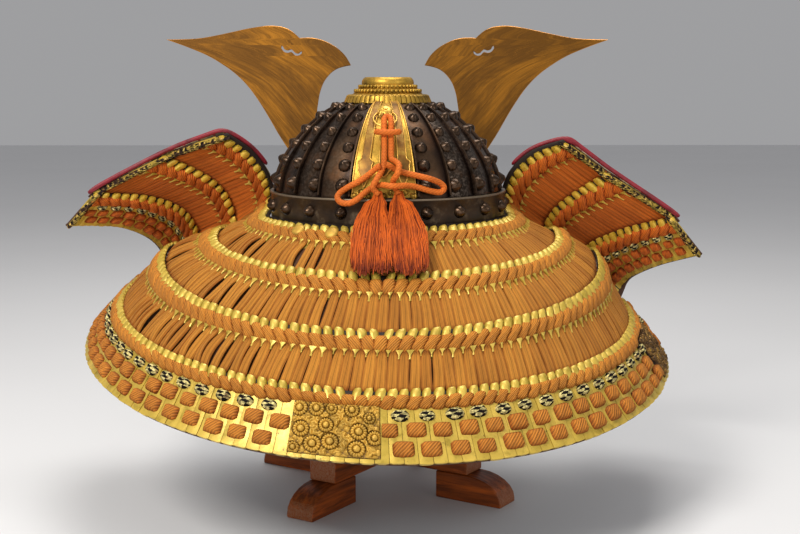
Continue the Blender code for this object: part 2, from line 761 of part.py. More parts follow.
def add_horns(root, gilt):
    for name, side in (("left", -1), ("right", 1)):
        curve = bpy.data.curves.new(f"horn_{name}", "CURVE")
        curve.dimensions = "2D"
        curve.fill_mode = "BOTH"
        curve.extrude = HORN_PLATE / 2
        curve.resolution_u = 2
        outline(curve, HORN_OUTLINE, side)
        outline(curve, HORN_SLOT, side)
        horn = add(f"horn_{name}", curve, gilt, root)
        horn.location = (0, HORN_Y, HORN_HEEL)
        horn.rotation_euler = (math.pi / 2 - HORN_LEAN, 0, 0)


def visor_reach(along):
    """How far the visor stands out from the band, at an angle in degrees from the front."""
    return VISOR_ENDS + (VISOR_REACH - VISOR_ENDS) * math.cos(math.radians(along) * 90 / VISOR_HALF)


def visor_point(place, along, depth):
    """The visor from the band (place 0) to its edge (1). along is in degrees from the front."""
    radius = VISOR_ROOT[0] + visor_reach(along) * place
    return polar(180 - along, radius, VISOR_ROOT[1] - VISOR_DROP * place * place - depth)


def mount_point(place, along, depth):
    """The horns' mount: a plate against the fronts of their heels, from the visor (place 1) to its top (0)."""
    across = MOUNT_HALF * along
    back = HORN_Y - MOUNT_PLATE
    share = (math.hypot(across, back) - VISOR_ROOT[0]) / visor_reach(math.degrees(math.atan2(across, back)))
    foot = VISOR_ROOT[1] - VISOR_DROP * share * share + GAP
    top = MOUNT_TOP - MOUNT_ARCH * along * along
    height = top + (foot - top) * place
    front = HORN_Y + HORN_PLATE / 2 + GAP + MOUNT_PLATE + (height - HORN_HEEL) * math.tan(HORN_LEAN)
    return Vector((across, front - depth, height))


def add_visor(root, lacquer, gilt):
    stops = between(-VISOR_HALF, VISOR_HALF, 12)
    flat = lambda *at: 0.0
    sheet("visor", visor_point, stops, lambda along: [0, 0.5, 1], flat, VISOR_WALL, lacquer, root)
    sheet("horn_mount", mount_point, between(-1, 1, 12), lambda along: [0, 1], flat, MOUNT_PLATE, gilt, root)


# ---- stand --------------------------------------------------------------------------------------------------------


def arm_axes(number):
    """Unit vectors along and across one of the four arms."""
    angle = math.radians(180 + STAND_TURN + 90 * number)
    return Vector((math.cos(angle), math.sin(angle), 0)), Vector((-math.sin(angle), math.cos(angle), 0))


def extruded_profile(name, profile, along, across, half, finish, root):
    """A profile of distance along an arm and height, widened to both sides of the arm."""
    bm = bmesh.new()
    middle = Vector((*STAND_MIDDLE, 0))
    ring = [bm.verts.new(middle + along * run + across * -half + Vector((0, 0, height))) for run, height in profile]
    face = bm.faces.new(ring)
    moved = bmesh.ops.extrude_face_region(bm, geom=[face])
    new = [item for item in moved["geom"] if isinstance(item, bmesh.types.BMVert)]
    bmesh.ops.translate(bm, verts=new, vec=across * 2 * half)
    return add_mesh(name, bm, finish, root)


def foot_profile():
    inner = ARM - FOOT_LENGTH
    start = ARM - FOOT_ROUND
    top = FOOT_HEIGHT - GAP
    points = [(inner, 0), (ARM, 0), (ARM, 0.0035)]
    for step in range(1, BEND + 1):
        angle = math.pi / 2 * step / BEND
        points.append((start + FOOT_ROUND * math.cos(angle), 0.0035 + (top - 0.0035) * math.sin(angle)))
    return points + [(inner, top)]


def add_stand(root, wood):
    end = ARM - FOOT_ROUND
    low, high = FOOT_HEIGHT, FOOT_HEIGHT + BAR_HEIGHT
    half_lap = (low + high) / 2
    notch = BAR_HALF + GAP
    lower = [(-end, low), (end, low), (end, high), (notch, high), (notch, half_lap), (-notch, half_lap), (-notch, high)]
    upper = [(-end, low), (-notch, low), (-notch, half_lap + GAP), (notch, half_lap + GAP), (notch, low), (end, low)]
    for name, number, profile in (
        ("stand_bar_lower", 0, lower + [(-end, high)]),
        ("stand_bar_upper", 1, upper + [(end, high), (-end, high)]),
    ):
        along, across = arm_axes(number)
        extruded_profile(name, profile, along, across, BAR_HALF, wood, root)
    for number in range(4):
        along, across = arm_axes(number)
        extruded_profile(f"stand_foot_{number + 1}", foot_profile(), along, across, BAR_HALF, wood, root)
    middle = Vector((*STAND_MIDDLE, 0))
    post = [(0, high + GAP), (POST_RADIUS, high + GAP), (POST_RADIUS, CAP_FOOT - GAP), (0, CAP_FOOT - GAP)]
    turned("stand_post", post, 16, wood, root, lambda point: point + middle)
    cap = [(0, CAP_FOOT), (0.022, CAP_FOOT), (CAP_RADIUS, 0.3160), (CAP_RADIUS, 0.3200)]
    for step in range(1, 4):
        angle = math.pi / 2 * step / 4
        cap.append((CAP_RADIUS * math.cos(angle), 0.3200 + (CAP_TOP - 0.3200) * math.sin(angle)))
    turned("stand_cap", cap + [(0, CAP_TOP)], 18, wood, root, lambda point: point + middle)


def main():
    clear_scene()
    root = bpy.data.objects.new("kabuto", None)
    bpy.context.scene.collection.objects.link(root)
    root.location = (*AXIS, 0)

    lacquer = material("gilt_lacquer", (0.72, 0.50, 0.08), 0.38, 0.7)
    silk = material("orange_silk", (0.66, 0.24, 0.06), 0.85)
    cord = material("orange_cord", (0.75, 0.17, 0.04), 0.8)
    iron = material("russet_iron", (0.055, 0.035, 0.028), 0.42, 0.75)
    band = material("black_lacquered_iron", (0.03, 0.022, 0.02), 0.35, 0.6)
    gilt = material("gilt_copper", (0.62, 0.38, 0.07), 0.35, 0.95)
    horn_gilt = material("worn_gilt", (0.33, 0.16, 0.04), 0.4, 0.85)
    leather = material("printed_leather", (0.45, 0.30, 0.16), 0.7)
    piping = material("red_leather", (0.34, 0.03, 0.045), 0.6)
    wood = material("reddish_wood", (0.20, 0.055, 0.025), 0.45)
    plain = material("black_lacquer", (0.02, 0.015, 0.015), 0.3)

    add_lames(root, lacquer, silk)
    add_rim_lame(root, lacquer, gilt)
    add_wing_faces(root, leather, piping)
    add_bowl(root, iron, band)
    add_crown(root, gilt)
    add_back_plate(root, gilt)
    add_ring(root, gilt)
    add_cords(root, cord)
    add_horns(root, horn_gilt)
    add_visor(root, plain, gilt)
    add_stand(root, wood)


main()
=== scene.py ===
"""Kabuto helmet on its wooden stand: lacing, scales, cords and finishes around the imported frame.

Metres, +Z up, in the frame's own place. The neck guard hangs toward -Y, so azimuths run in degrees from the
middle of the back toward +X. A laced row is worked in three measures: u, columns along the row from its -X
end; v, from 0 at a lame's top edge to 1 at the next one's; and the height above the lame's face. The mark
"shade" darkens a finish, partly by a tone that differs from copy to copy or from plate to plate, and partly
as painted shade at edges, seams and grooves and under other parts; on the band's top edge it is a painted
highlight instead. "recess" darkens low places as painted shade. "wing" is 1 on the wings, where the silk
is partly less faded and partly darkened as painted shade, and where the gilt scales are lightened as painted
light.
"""

import json
import math

import bmesh
import bpy
import numpy as np
from bpy.props import FloatProperty, FloatVectorProperty, IntProperty, PointerProperty
from mathutils import Matrix, Vector

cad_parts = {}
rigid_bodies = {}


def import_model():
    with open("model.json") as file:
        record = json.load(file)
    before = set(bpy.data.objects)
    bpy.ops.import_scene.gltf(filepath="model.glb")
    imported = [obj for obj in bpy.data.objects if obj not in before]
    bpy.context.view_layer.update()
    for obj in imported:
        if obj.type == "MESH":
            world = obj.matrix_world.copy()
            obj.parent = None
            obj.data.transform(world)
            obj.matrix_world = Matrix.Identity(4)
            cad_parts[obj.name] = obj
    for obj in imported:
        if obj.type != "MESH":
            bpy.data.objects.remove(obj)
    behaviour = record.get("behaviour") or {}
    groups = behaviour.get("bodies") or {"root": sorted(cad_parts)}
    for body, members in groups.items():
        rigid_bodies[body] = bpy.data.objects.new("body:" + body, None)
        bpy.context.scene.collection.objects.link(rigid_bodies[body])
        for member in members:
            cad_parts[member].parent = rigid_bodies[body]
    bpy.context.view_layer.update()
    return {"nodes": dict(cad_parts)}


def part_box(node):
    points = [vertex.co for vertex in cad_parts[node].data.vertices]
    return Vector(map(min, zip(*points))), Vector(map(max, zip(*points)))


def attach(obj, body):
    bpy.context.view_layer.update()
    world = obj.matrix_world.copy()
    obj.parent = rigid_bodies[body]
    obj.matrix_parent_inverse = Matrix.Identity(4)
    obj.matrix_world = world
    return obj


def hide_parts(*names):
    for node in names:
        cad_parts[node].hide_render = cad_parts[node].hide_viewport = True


bl_info = {
    "name": "Kabuto Helmet",
    "version": (1, 0, 0),
    "blender": (4, 5, 0),
    "location": "View3D > Sidebar > Kabuto",
    "description": "Dresses a kabuto helmet's frame in lacing, gilt scales, cords and finishes",
    "category": "Add Mesh",
}

for startup in list(bpy.data.objects):
    bpy.data.objects.remove(startup, do_unlink=True)
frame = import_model()
BAND_LOW, BAND_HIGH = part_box("bowl_band")
AXIS = np.array([(BAND_LOW.x + BAND_HIGH.x) / 2, (BAND_LOW.y + BAND_HIGH.y) / 2, 0.0])

MIDDLE = 20.0  # the column in the middle of the back, on the three upper lames
FOLD = 12.7  # columns from there to the fold where a wing turns back
LAMES = 3  # that carry a lacing and have wings

# ---- sizes and colours that a user would change ----


def linear(*everyday):
    """A colour from everyday 0 to 255 values."""
    parts = [value / 255 for value in everyday]
    return tuple(value / 12.92 if value <= 0.04045 else ((value + 0.055) / 1.055) ** 2.4 for value in parts)


def length(name, description, default):
    return FloatProperty(
        name=name, description=description, default=default, min=0.0, soft_max=0.1, unit="LENGTH", precision=4
    )


def amount(name, description, default, low, high):
    return IntProperty(name=name, description=description, default=default, min=low, max=high)


def tint(name, description, *default):
    return FloatVectorProperty(
        name=name, description=description, default=linear(*default), size=3, min=0, max=1, subtype="COLOR"
    )


class KabutoSizes(bpy.types.PropertyGroup):
    scale_pitch: length("Scale pitch", "From one gilt scale of a lame to the next", 0.0088)
    block_pitch: length("Block pitch", "From one lacing block of the rim to the next", 0.0208)
    strap_lift: length("Strap lift", "How far the loosest lacing straps bow outwards", 0.0024)
    cord_plait: length("Cord plait", "Length of one crossing in the round cord", 0.0030)
    tassel_threads: amount("Tassel threads", "Silk threads in each tassel", 560, 50, 800)
    crown_beads: amount("Crown beads", "Beads in the crown's upper row", 42, 12, 120)


class KabutoColours(bpy.types.PropertyGroup):
    back_silk: tint("Back lacing", "Faded silk of the neck guard", 208, 142, 52)
    # Darker than the back lacing: partly less faded silk, partly painted shade on the wings, which face away
    # from the light.
    wing_silk: tint("Wing lacing", "Less faded silk of the wings", 220, 119, 38)
    cord_silk: tint("Bow cord", "Bright silk of the bow", 216, 112, 42)
    tassel_silk: tint("Tassels", "Deeper silk of the tassels", 198, 88, 18)
    gilt: tint("Gilt lacquer", "Gold of the scales", 210, 178, 74)
    gilt_metal: tint("Gilt copper", "Gold of the crown and the back plate", 204, 160, 62)
    horn_gilt: tint("Horn gilding", "Worn gold of the horns", 144, 94, 22)
    iron: tint("Russet iron", "The bowl's patina", 49, 35, 23)
    lacquer: tint("Black lacquer", "Insides of the lames, the band and the visor", 30, 25, 25)
    piping: tint("Red leather", "Piping on the wings", 128, 18, 34)
    leather: tint("Printed leather", "Fronts of the wings", 190, 165, 120)
    wood: tint("Stand wood", "Oiled reddish wood", 146, 68, 14)
    dark_braid: tint("Dark braid", "Dark strands of the knots", 20, 9, 7)
    pale_braid: tint("Pale braid", "Pale strands of the knots", 244, 226, 150)


# ---- materials ----


class Finish:
    """A material under construction: its node tree, its shader and short ways to add and link nodes."""

    def __init__(self, name, sockets):
        self.material = bpy.data.materials.new(name)
        self.material.use_nodes = True
        self.tree = self.material.node_tree
        self.shader = self.tree.nodes["Principled BSDF"]
        for socket, value in sockets.items():
            self.shader.inputs[socket.replace("_", " ")].default_value = value
        self.object = self.node("TexCoord").outputs["Object"]

    def tint(self, name):
        """One of the colours that a user may change."""
        return tuple(getattr(bpy.context.scene.kabuto_colours, name))

    def fill(self, socket, value):
        if isinstance(value, bpy.types.NodeSocket):
            self.tree.links.new(value, socket)
        else:
            socket.default_value = value

    def node(self, kind, inputs=(), **settings):
        made = self.tree.nodes.new("ShaderNode" + kind)
        for key, value in settings.items():
            setattr(made, key, value)
        for key, value in dict(inputs).items():
            self.fill(made.inputs[key], value)
        return made

    def place(self, scale, source=None, turn=(0, 0, 0)):
        """The place coordinates stretched by a scale for each axis."""
        inputs = {"Vector": source or self.object, "Scale": scale, "Rotation": turn}
        return self.node("Mapping", inputs).outputs["Vector"]

    def noise(self, scale, detail=3.0, source=None, roughness=0.6, distortion=0.0, output="Fac"):
        inputs = {"Scale": scale, "Detail": detail, "Roughness": roughness, "Distortion": distortion}
        return self.node("TexNoise", {"Vector": source or self.object, **inputs}).outputs[output]

    def ramp(self, factor, *stops):
        """A colour ramp through (position, colour) stops. A number stands for a grey."""
        made = self.node("ValToRGB", {"Fac": factor})
        elements = made.color_ramp.elements
        while len(elements) < len(stops):
            elements.new(0.5)
        for element, (position, colour) in zip(elements, stops):
            element.position = position
            element.color = (colour,) * 3 + (1,) if isinstance(colour, (int, float)) else (*colour, 1)
        return made.outputs["Color"]

    def cloud(self, scale, detail, *stops):
        """Soft patches through a ramp's stops."""
        return self.ramp(self.noise(scale, detail), *stops)

    def mix(self, factor, first, second, blend="MIX"):
        made = self.node("Mix", data_type="RGBA", blend_type=blend)
        for socket, value in zip((made.inputs[0], made.inputs[6], made.inputs[7]), (factor, first, second)):
            self.fill(socket, (*value, 1) if isinstance(value, tuple) else value)
        return made.outputs[2]

    def times(self, first, second):
        return self.mix(1.0, first, second, "MULTIPLY")

    def maths(self, operation, first, second=0.0):
        return self.node("Math", {0: first, 1: second}, operation=operation).outputs[0]

    def attribute(self, name, output="Fac"):
        return self.node("Attribute", attribute_name=name).outputs[output]

    def uv(self):
        return self.node("UVMap").outputs["UV"]

    def part(self, vector, axis):
        return self.node("SeparateXYZ", {0: vector}).outputs[axis]

    def checks(self, lie):
        return self.node("TexChecker", {"Vector": lie, "Scale": 1.0}).outputs["Fac"]

    def set(self, socket, value):
        self.tree.links.new(value, self.shader.inputs[socket])

    def colour(self, value):
        self.set("Base Color", value)

    def bump(self, height, distance, strength, under=None):
        inputs = {"Height": height, "Distance": distance, "Strength": strength}
        if under is not None:
            inputs["Normal"] = under
        return self.node("Bump", inputs).outputs["Normal"]

    def grain(self, scale, detail, distance, strength):
        """A fine uneven surface."""
        self.set("Normal", self.bump(self.noise(scale, detail), distance, strength))


def scaled(colour, *factors):
    """A colour made lighter or darker, by one factor or by one for each of red, green and blue."""
    factors = factors * 3 if len(factors) == 1 else factors
    return tuple(min(part * factor, 1.0) for part, factor in zip(colour, factors))


def material(name, roughness, metallic=0.0, **sockets):
    """Turns a recipe into a function that makes its material once, and finds it again after that."""
    sockets = {"Roughness": roughness, "Metallic": metallic, **sockets}

    def wrap(recipe):
        def ready(*choices, name=name):
            found = bpy.data.materials.get("kabuto_" + name)
            if found is None:
                finish = Finish("kabuto_" + name, sockets)
                recipe(finish, *choices)
                found = finish.material
            return found

        return ready

    return wrap


@material("gilt_lacquer", 0.40, 0.35, Coat_Weight=0.2, Coat_Roughness=0.3)
def gilt_lacquer(finish):
    """Gold leaf on lacquered scales: rubbed toward amber, chipped to black here and there. Darker toward each
    scale's sides as painted shade, and lighter on the wings as painted light.
    """
    gold = finish.tint("gilt")
    worn = finish.cloud(95, 5, (0.30, scaled(gold, 0.50, 0.50, 0.25)), (0.47, gold), (0.70, scaled(gold, 1.12)))
    # shade: a random tone, and on the scales painted shade toward their sides, in the gaps between them
    worn_shaded_and_lit = finish.mix(finish.attribute("shade"), worn, scaled(gold, 0.62, 0.62, 0.3))
    bright = finish.times(worn_shaded_and_lit, (1.30, 1.24, 1.05))
    # painted light: the gold on the wings is lightened
    worn_shaded_and_lit = finish.mix(finish.attribute("wing"), worn_shaded_and_lit, bright)
    chips = finish.ramp(finish.noise(210, 5, roughness=0.8), (0.63, 0.0), (0.68, 0.85))
    finish.colour(finish.mix(chips, worn_shaded_and_lit, (0.075, 0.035, 0.012)))
    finish.set("Roughness", finish.cloud(160, 4, (0.3, 0.30), (0.75, 0.55)))
    finish.grain(380, 4, 0.0004, 0.5)


@material("lame_face", 0.60, 0.15, Specular_IOR_Level=0.25)
def lame_face(finish):
    """The body of a lame: near black at its top edge as painted shade behind and between the scale heads, gilt
    below that, and dark lacquer where the straps hang over it.
    """
    gold = finish.tint("gilt")
    waver = finish.maths("MULTIPLY", finish.noise(300, 2), 0.06)
    line = finish.maths("ADD", finish.part(finish.uv(), "Y"), waver)
    gilt = (0.165, scaled(gold, 0.75)), (0.50, scaled(gold, 0.7))
    # Above v 0.155 the face is near black: painted shade between the scale heads and in the slits between
    # lames.
    under = finish.ramp(line, (0.155, (0.020, 0.012, 0.008)), *gilt)
    lacquered = finish.ramp(line, (0.50, 0.0), (0.56, 1.0))
    finish.colour(finish.mix(lacquered, under, (0.075, 0.032, 0.015)))
    finish.grain(420, 3, 0.0003, 0.5)


@material("gilt_copper", 0.46, 0.80)
def gilt_copper(finish):
    """Chased gilt copper, darkened in its low places as painted shade."""
    gold = finish.tint("gilt_metal")
    stops = (0.32, scaled(gold, 0.26, 0.26, 0.15)), (0.50, scaled(gold, 0.72)), (0.72, gold)
    recess, cloud = finish.attribute("recess"), finish.cloud(70, 5, *stops)
    # recess: painted shade in low places and on turned edges
    finish.colour(finish.mix(recess, cloud, (0.085, 0.040, 0.010)))
    finish.set("Roughness", finish.cloud(240, 4, (0.3, 0.34), (0.8, 0.56)))
    finish.grain(520, 4, 0.0003, 0.45)


@material("old_gilt", 0.50, 0.40)
def old_gilt(finish):
    """Duller gilding over the cast flowers, brown in the hollows as painted shade."""
    gold = finish.tint("gilt_metal")
    cloud = finish.cloud(110, 5, (0.35, scaled(gold, 0.60)), (0.58, scaled(gold, 0.95)))
    # recess: painted shade in the hollows
    finish.colour(finish.mix(finish.attribute("recess"), cloud, (0.075, 0.030, 0.004)))
    finish.grain(520, 4, 0.0003, 0.45)


@material("brown_copper", 0.46, 0.55)
def brown_copper(finish):
    """Copper that shows brown through its thin gilding, as on the arrow strips."""
    gold = finish.tint("gilt_metal")
    worn = scaled(gold, 0.38, 0.29, 0.22)
    stops = (0.36, scaled(worn, 0.55)), (0.52, worn), (0.68, scaled(gold, 0.6))
    finish.colour(finish.cloud(85, 5, *stops))
    finish.grain(420, 4, 0.0003, 0.45)


@material("bright_gilt", 0.34, 0.65)
def bright_gilt(finish):
    """Pale gilding on wires and the ring, rubbed bright."""
    gold = finish.tint("gilt_metal")
    finish.colour(finish.cloud(160, 4, (0.36, gold), (0.55, scaled(gold, 1.25, 1.22, 1.7))))


@material("dark_bronze", 0.42, 0.75)
def dark_bronze(finish):
    """The flower plate where the gilding is almost gone, darkened in its hollows as painted shade."""
    bare = (0.38, (0.055, 0.026, 0.008)), (0.56, (0.20, 0.105, 0.026))
    cloud = finish.cloud(110, 5, *bare, (0.74, scaled(finish.tint("gilt_metal"), 0.75)))
    # recess: painted shade in the hollows
    finish.colour(finish.mix(finish.attribute("recess"), cloud, (0.020, 0.012, 0.008)))
    finish.grain(520, 4, 0.0003, 0.45)


@material("worn_gilt", 0.44, 0.75)
def horn_gilding(finish):
    """Thin gilding brushed along the horn and rubbed through to brown."""
    gold, lie = finish.tint("horn_gilt"), finish.uv()
    streak = finish.noise(4.0, 6, finish.place((5, 95, 1), lie), 0.70, 0.4)
    base = finish.ramp(streak, (0.36, scaled(gold, 0.58)), (0.50, gold), (0.64, scaled(gold, 1.35)))
    patch = finish.noise(1.0, 4, finish.place((9, 34, 1), lie), 0.6, 0.8)
    base = finish.mix(finish.ramp(patch, (0.44, 0.80), (0.60, 0.0)), base, scaled(gold, 0.38, 0.38, 0.5))
    scratch = finish.noise(7.0, 3, finish.place((4, 300, 1), lie), 0.5)
    base = finish.mix(finish.ramp(scratch, (0.62, 0.0), (0.68, 0.45)), base, scaled(gold, 1.9))
    finish.colour(base)
    finish.set("Roughness", finish.ramp(streak, (0.35, 0.56), (0.65, 0.38)))
    finish.set("Normal", finish.bump(streak, 0.0003, 0.30))


@material("gilt_edge", 0.30, 0.75)
def gilt_edge(finish):
    """Lighter gilding on the horns' sides and chamfered edges, a painted highlight where they catch the light.
    """
    gold = finish.tint("horn_gilt")
    # painted highlight: up to 1.9 times the horn's gold
    finish.colour(finish.cloud(60, 4, (0.35, gold), (0.6, scaled(gold, 1.9))))


@material("russet_iron", 0.40, 0.92, Coat_Weight=0.05, Coat_Roughness=0.20)
def russet_iron(finish):
    """Iron under a dark brown patina, greyer or browner from plate to plate, and darkened along the ridges'
    feet as painted shade.
    """
    iron, shade = finish.tint("iron"), finish.attribute("shade")
    stops = (0.36, scaled(iron, 0.8)), (0.52, scaled(iron, 1.9)), (0.70, scaled(iron, 3.8))
    patina = finish.cloud(26, 6, *stops)
    speckle = finish.cloud(420, 3, (0.45, 0.0), (0.62, 1.0))
    base = finish.mix(shade, patina, finish.mix(speckle, (0.036, 0.024, 0.016), (0.150, 0.112, 0.085)))
    base = finish.mix(finish.cloud(58, 5, (0.50, 0.0), (0.70, 0.65)), base, (0.13, 0.056, 0.022))
    # recess: painted shade along both feet of each ridge
    finish.colour(finish.mix(finish.attribute("recess"), base, (0.016, 0.008, 0.006)))
    matt, gloss = (finish.cloud(90, 5, (0.35, low), (0.68, high)) for low, high in ((0.44, 0.62), (0.20, 0.42)))
    finish.set("Roughness", finish.mix(shade, matt, gloss))
    finish.grain(300, 5, 0.0005, 0.4)


@material("rivet_iron", 0.30, 0.88, Coat_Weight=0.15, Coat_Roughness=0.16)
def rivet_iron(finish):
    """The bowl's iron, rubbed smoother on the rivets."""
    iron = finish.tint("iron")
    finish.colour(finish.cloud(160, 4, (0.35, scaled(iron, 0.9)), (0.7, scaled(iron, 2.8))))
    finish.set("Roughness", finish.cloud(260, 3, (0.3, 0.24), (0.75, 0.46)))


@material("black_lacquered_iron", 0.34, 0.5)
def band_iron(finish):
    """Lacquered iron, lightened along its raised top edge as a painted highlight."""
    iron = finish.tint("iron")
    stops = (0.38, scaled(iron, 0.5)), (0.58, scaled(iron, 1.2)), (0.76, (0.20, 0.15, 0.095))
    base = finish.cloud(52, 6, *stops)
    # the mark "shade" is here a painted highlight along the top edge
    finish.colour(finish.mix(finish.attribute("shade"), base, (0.17, 0.125, 0.08)))
    finish.set("Roughness", finish.cloud(90, 4, (0.3, 0.28), (0.75, 0.55)))
    finish.grain(300, 4, 0.0003, 0.4)


@material("black_lacquer", 0.32, Coat_Weight=0.3, Coat_Roughness=0.25)
def black_lacquer(finish):
    """Old black lacquer, dusty and a little brown."""
    dark = finish.tint("lacquer")
    finish.colour(finish.cloud(45, 5, (0.35, dark), (0.75, scaled(dark, 3.2, 2.6, 2.2))))
    finish.set("Roughness", finish.cloud(120, 4, (0.3, 0.28), (0.75, 0.5)))
    finish.grain(260, 3, 0.0003, 0.3)


@material("silk", 0.74, Specular_IOR_Level=0.25)
def silk(finish, threads, turn, depth, tone, paired=False):
    """Braided silk. Its fine cords run across UV x, and tone is how much of each colour the years have left.
    Grooves between the fine cords, a strap's middle seam and the mark "shade" darken it as painted shade.
    """
    lie = finish.place((1, 1, 1), finish.uv(), (0, 0, turn))
    wave = {"Vector": lie, "Scale": threads, "Distortion": 0.25, "Detail": 1.0}
    cords = finish.node("TexWave", wave, bands_direction="X").outputs["Fac"]
    # On the wings the silk is partly less faded and partly darker as painted shade.
    base = finish.mix(finish.attribute("wing"), finish.tint("back_silk"), finish.tint("wing_silk"))
    base = finish.times(base, finish.cloud(40, 4, (0.3, scaled(tone, 0.80)), (0.7, tone)))
    # shade: painted shade at seams, edges and under other parts, with a random tone
    base = finish.mix(finish.attribute("shade"), base, finish.times(base, (0.34, 0.17, 0.12)))
    fibres = finish.noise(threads * 2.4, 2, finish.place((1, 0.10, 1), lie))
    base = finish.times(base, finish.ramp(fibres, (0.34, 0.88), (0.60, 1.38)))
    # painted shade in the grooves between the fine cords
    base = finish.times(base, finish.ramp(cords, (0.05, 1.0 - depth), (0.40, 1.0)))
    if paired:
        # painted shade along the seam between a strap's two cords
        seam = finish.maths("ABSOLUTE", finish.maths("SUBTRACT", finish.part(finish.uv(), "X"), 0.5))
        base = finish.times(base, finish.ramp(seam, (0.015, 0.55), (0.06, 1.0)))
    finish.colour(base)
    fuzz = finish.bump(finish.noise(900, 3), 0.0002, 0.4)
    finish.set("Normal", finish.bump(cords, 0.0007, 0.8, fuzz))


@material("orange_cord", 0.6, Specular_IOR_Level=0.12)
def cord_silk(finish, dye="cord_silk"):
    """Bright silk of the bow, or the tassels' deeper one. The mark "shade" darkens it as painted shade in the
    plait's grooves, on the tassels' back threads and at their foot, with a random tone per thread.
    """
    orange = finish.tint(dye)
    # shade: painted shade in grooves, behind and at the foot, with a random tone
    base = finish.mix(finish.attribute("shade"), orange, scaled(orange, 0.24, 0.14, 0.12))
    finish.colour(finish.times(base, finish.cloud(60, 4, (0.35, 0.78), (0.7, 1.12))))
    finish.grain(1100, 3, 0.0002, 0.5)


@material("knot_braid", 0.75, Specular_IOR_Level=0.15)
def knot_braid(finish, across=2.6, up=5.4, rubbed=False):
    """Dark and pale strands plaited together, with short dashes of each. A rubbed braid shows gilt and dirt."""
    ripple = finish.mix(0.16, finish.uv(), finish.noise(260.0, 2.0, None, 0.5, output="Color"))
    dots = finish.checks(finish.place((across, up, 1.0), ripple, (0, 0, 0.42)))
    faded = finish.cloud(240, 2, (0.56, 0.0), (0.62, 0.6))
    pale = finish.mix(faded, finish.tint("pale_braid"), (0.30, 0.08, 0.04))
    base = finish.mix(dots, finish.tint("dark_braid"), pale)
    if rubbed:
        base = finish.times(base, (0.92, 0.74, 0.46))
        patches = finish.noise(130, 4)
        gold = scaled(finish.tint("gilt"), 0.7)
        base = finish.mix(finish.ramp(patches, (0.53, 0.0), (0.57, 0.9)), base, gold)
        base = finish.mix(finish.ramp(patches, (0.42, 0.9), (0.46, 0.0)), base, (0.05, 0.02, 0.012))
    finish.colour(finish.times(base, finish.cloud(420, 3, (0.42, 0.25), (0.64, 0.95))))
    finish.set("Normal", finish.bump(dots, 0.0004, 0.6))


@material("red_leather", 0.5)
def red_leather(finish):
    red = finish.tint("piping")
    stops = (0.3, scaled(red, 0.5)), (0.52, red), (0.75, scaled(red, 1.25))
    finish.colour(finish.cloud(70, 5, *stops))
    finish.grain(600, 4, 0.0004, 0.5)


@material("printed_leather", 0.62)
def printed_leather(finish):
    """Tan leather printed with small diamonds in two dyes."""
    tan = finish.tint("leather")
    lie = finish.place((150, 150, 1), finish.uv(), (0, 0, math.radians(45)))
    tiles = finish.checks(lie)
    dots = finish.node("TexVoronoi", {"Vector": lie, "Scale": 1.0, "Randomness": 0.0}).outputs["Distance"]
    base = finish.mix(finish.cloud(30, 4, (0.3, 0.0), (0.8, 0.6)), tan, scaled(tan, 0.62))
    base = finish.mix(finish.maths("MULTIPLY", tiles, 0.55), base, (0.045, 0.075, 0.085))
    dots = finish.ramp(dots, (0.16, 0.9), (0.22, 0.0))
    finish.colour(finish.mix(dots, base, (0.30, 0.035, 0.030)))
    finish.grain(700, 4, 0.0003, 0.5)


@material("reddish_wood", 0.42, Specular_IOR_Level=0.30)
def stand_wood(finish):
    """Close-grained reddish wood. The grain follows each piece's own length."""
    wood, lie = finish.tint("wood"), finish.attribute("grain", "Vector")
    fibres = finish.noise(1.0, 6, finish.place((16, 190, 190), lie), 0.65, 0.3)
    rings = finish.noise(1.0, 3, finish.place((5, 40, 40), lie), 0.5, 1.2)
    base = finish.ramp(fibres, (0.40, scaled(wood, 0.42)), (0.50, wood), (0.62, scaled(wood, 1.7)))
    base = finish.mix(finish.ramp(rings, (0.42, 0.0), (0.56, 0.5)), base, scaled(wood, 0.45))
    end = finish.part(finish.attribute("end_grain", "Color"), "X")
    pores = finish.cloud(700, 3, (0.35, scaled(wood, 0.9)), (0.7, (0.30, 0.14, 0.065)))
    finish.colour(finish.mix(end, base, pores))
    finish.set("Roughness", finish.ramp(fibres, (0.3, 0.52), (0.7, 0.34)))
    finish.set("Normal", finish.bump(fibres, 0.0004, 0.4))


@material("pale_floor", 0.6)
def pale_floor(finish):
    finish.colour(finish.cloud(2, 2, (0.3, (0.72, 0.72, 0.73)), (0.7, (0.74, 0.74, 0.75))))


# ---- shaping ----

SEAM = 1e-6  # points of one spun or rolled shape that are nearer than this are one point


def placed(name, data):
    """A new object in the scene."""
    made = bpy.data.objects.new(name, data)
    bpy.context.scene.collection.objects.link(made)
    return made


def finished(name, mesh, finishes, replaced=()):
    """Puts a mesh in the scene as a piece of the helmet."""
    piece = placed(name, mesh)
    for finish in finishes:
        mesh.materials.append(finish)
    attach(piece, "root")
    if replaced:
        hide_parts(*replaced)
    return piece


def joined(bm, apart=SEAM):
    """Makes one point of those that are nearer than this."""
    bmesh.ops.remove_doubles(bm, verts=bm.verts, dist=apart)


def faced(bm, wrong=None):
    """Turns all faces one way, and round again if they come out wrong."""
    bmesh.ops.recalc_face_normals(bm, faces=bm.faces)
    if wrong and wrong(bm):
        bmesh.ops.reverse_faces(bm, faces=bm.faces)


def smoothed(mesh, creases):
    """Smooth shading that stops at edges sharper than an angle in degrees."""
    mesh.shade_smooth()
    mesh.set_sharp_from_angle(angle=math.radians(creases))


def from_bmesh(name, bm, finishes, replaced=(), creases=35, outwards=True):
    if outwards:
        faced(bm)
    mesh = bpy.data.meshes.new(name)
    bm.to_mesh(mesh)
    bm.free()
    smoothed(mesh, creases)
    return finished(name, mesh, finishes, replaced)


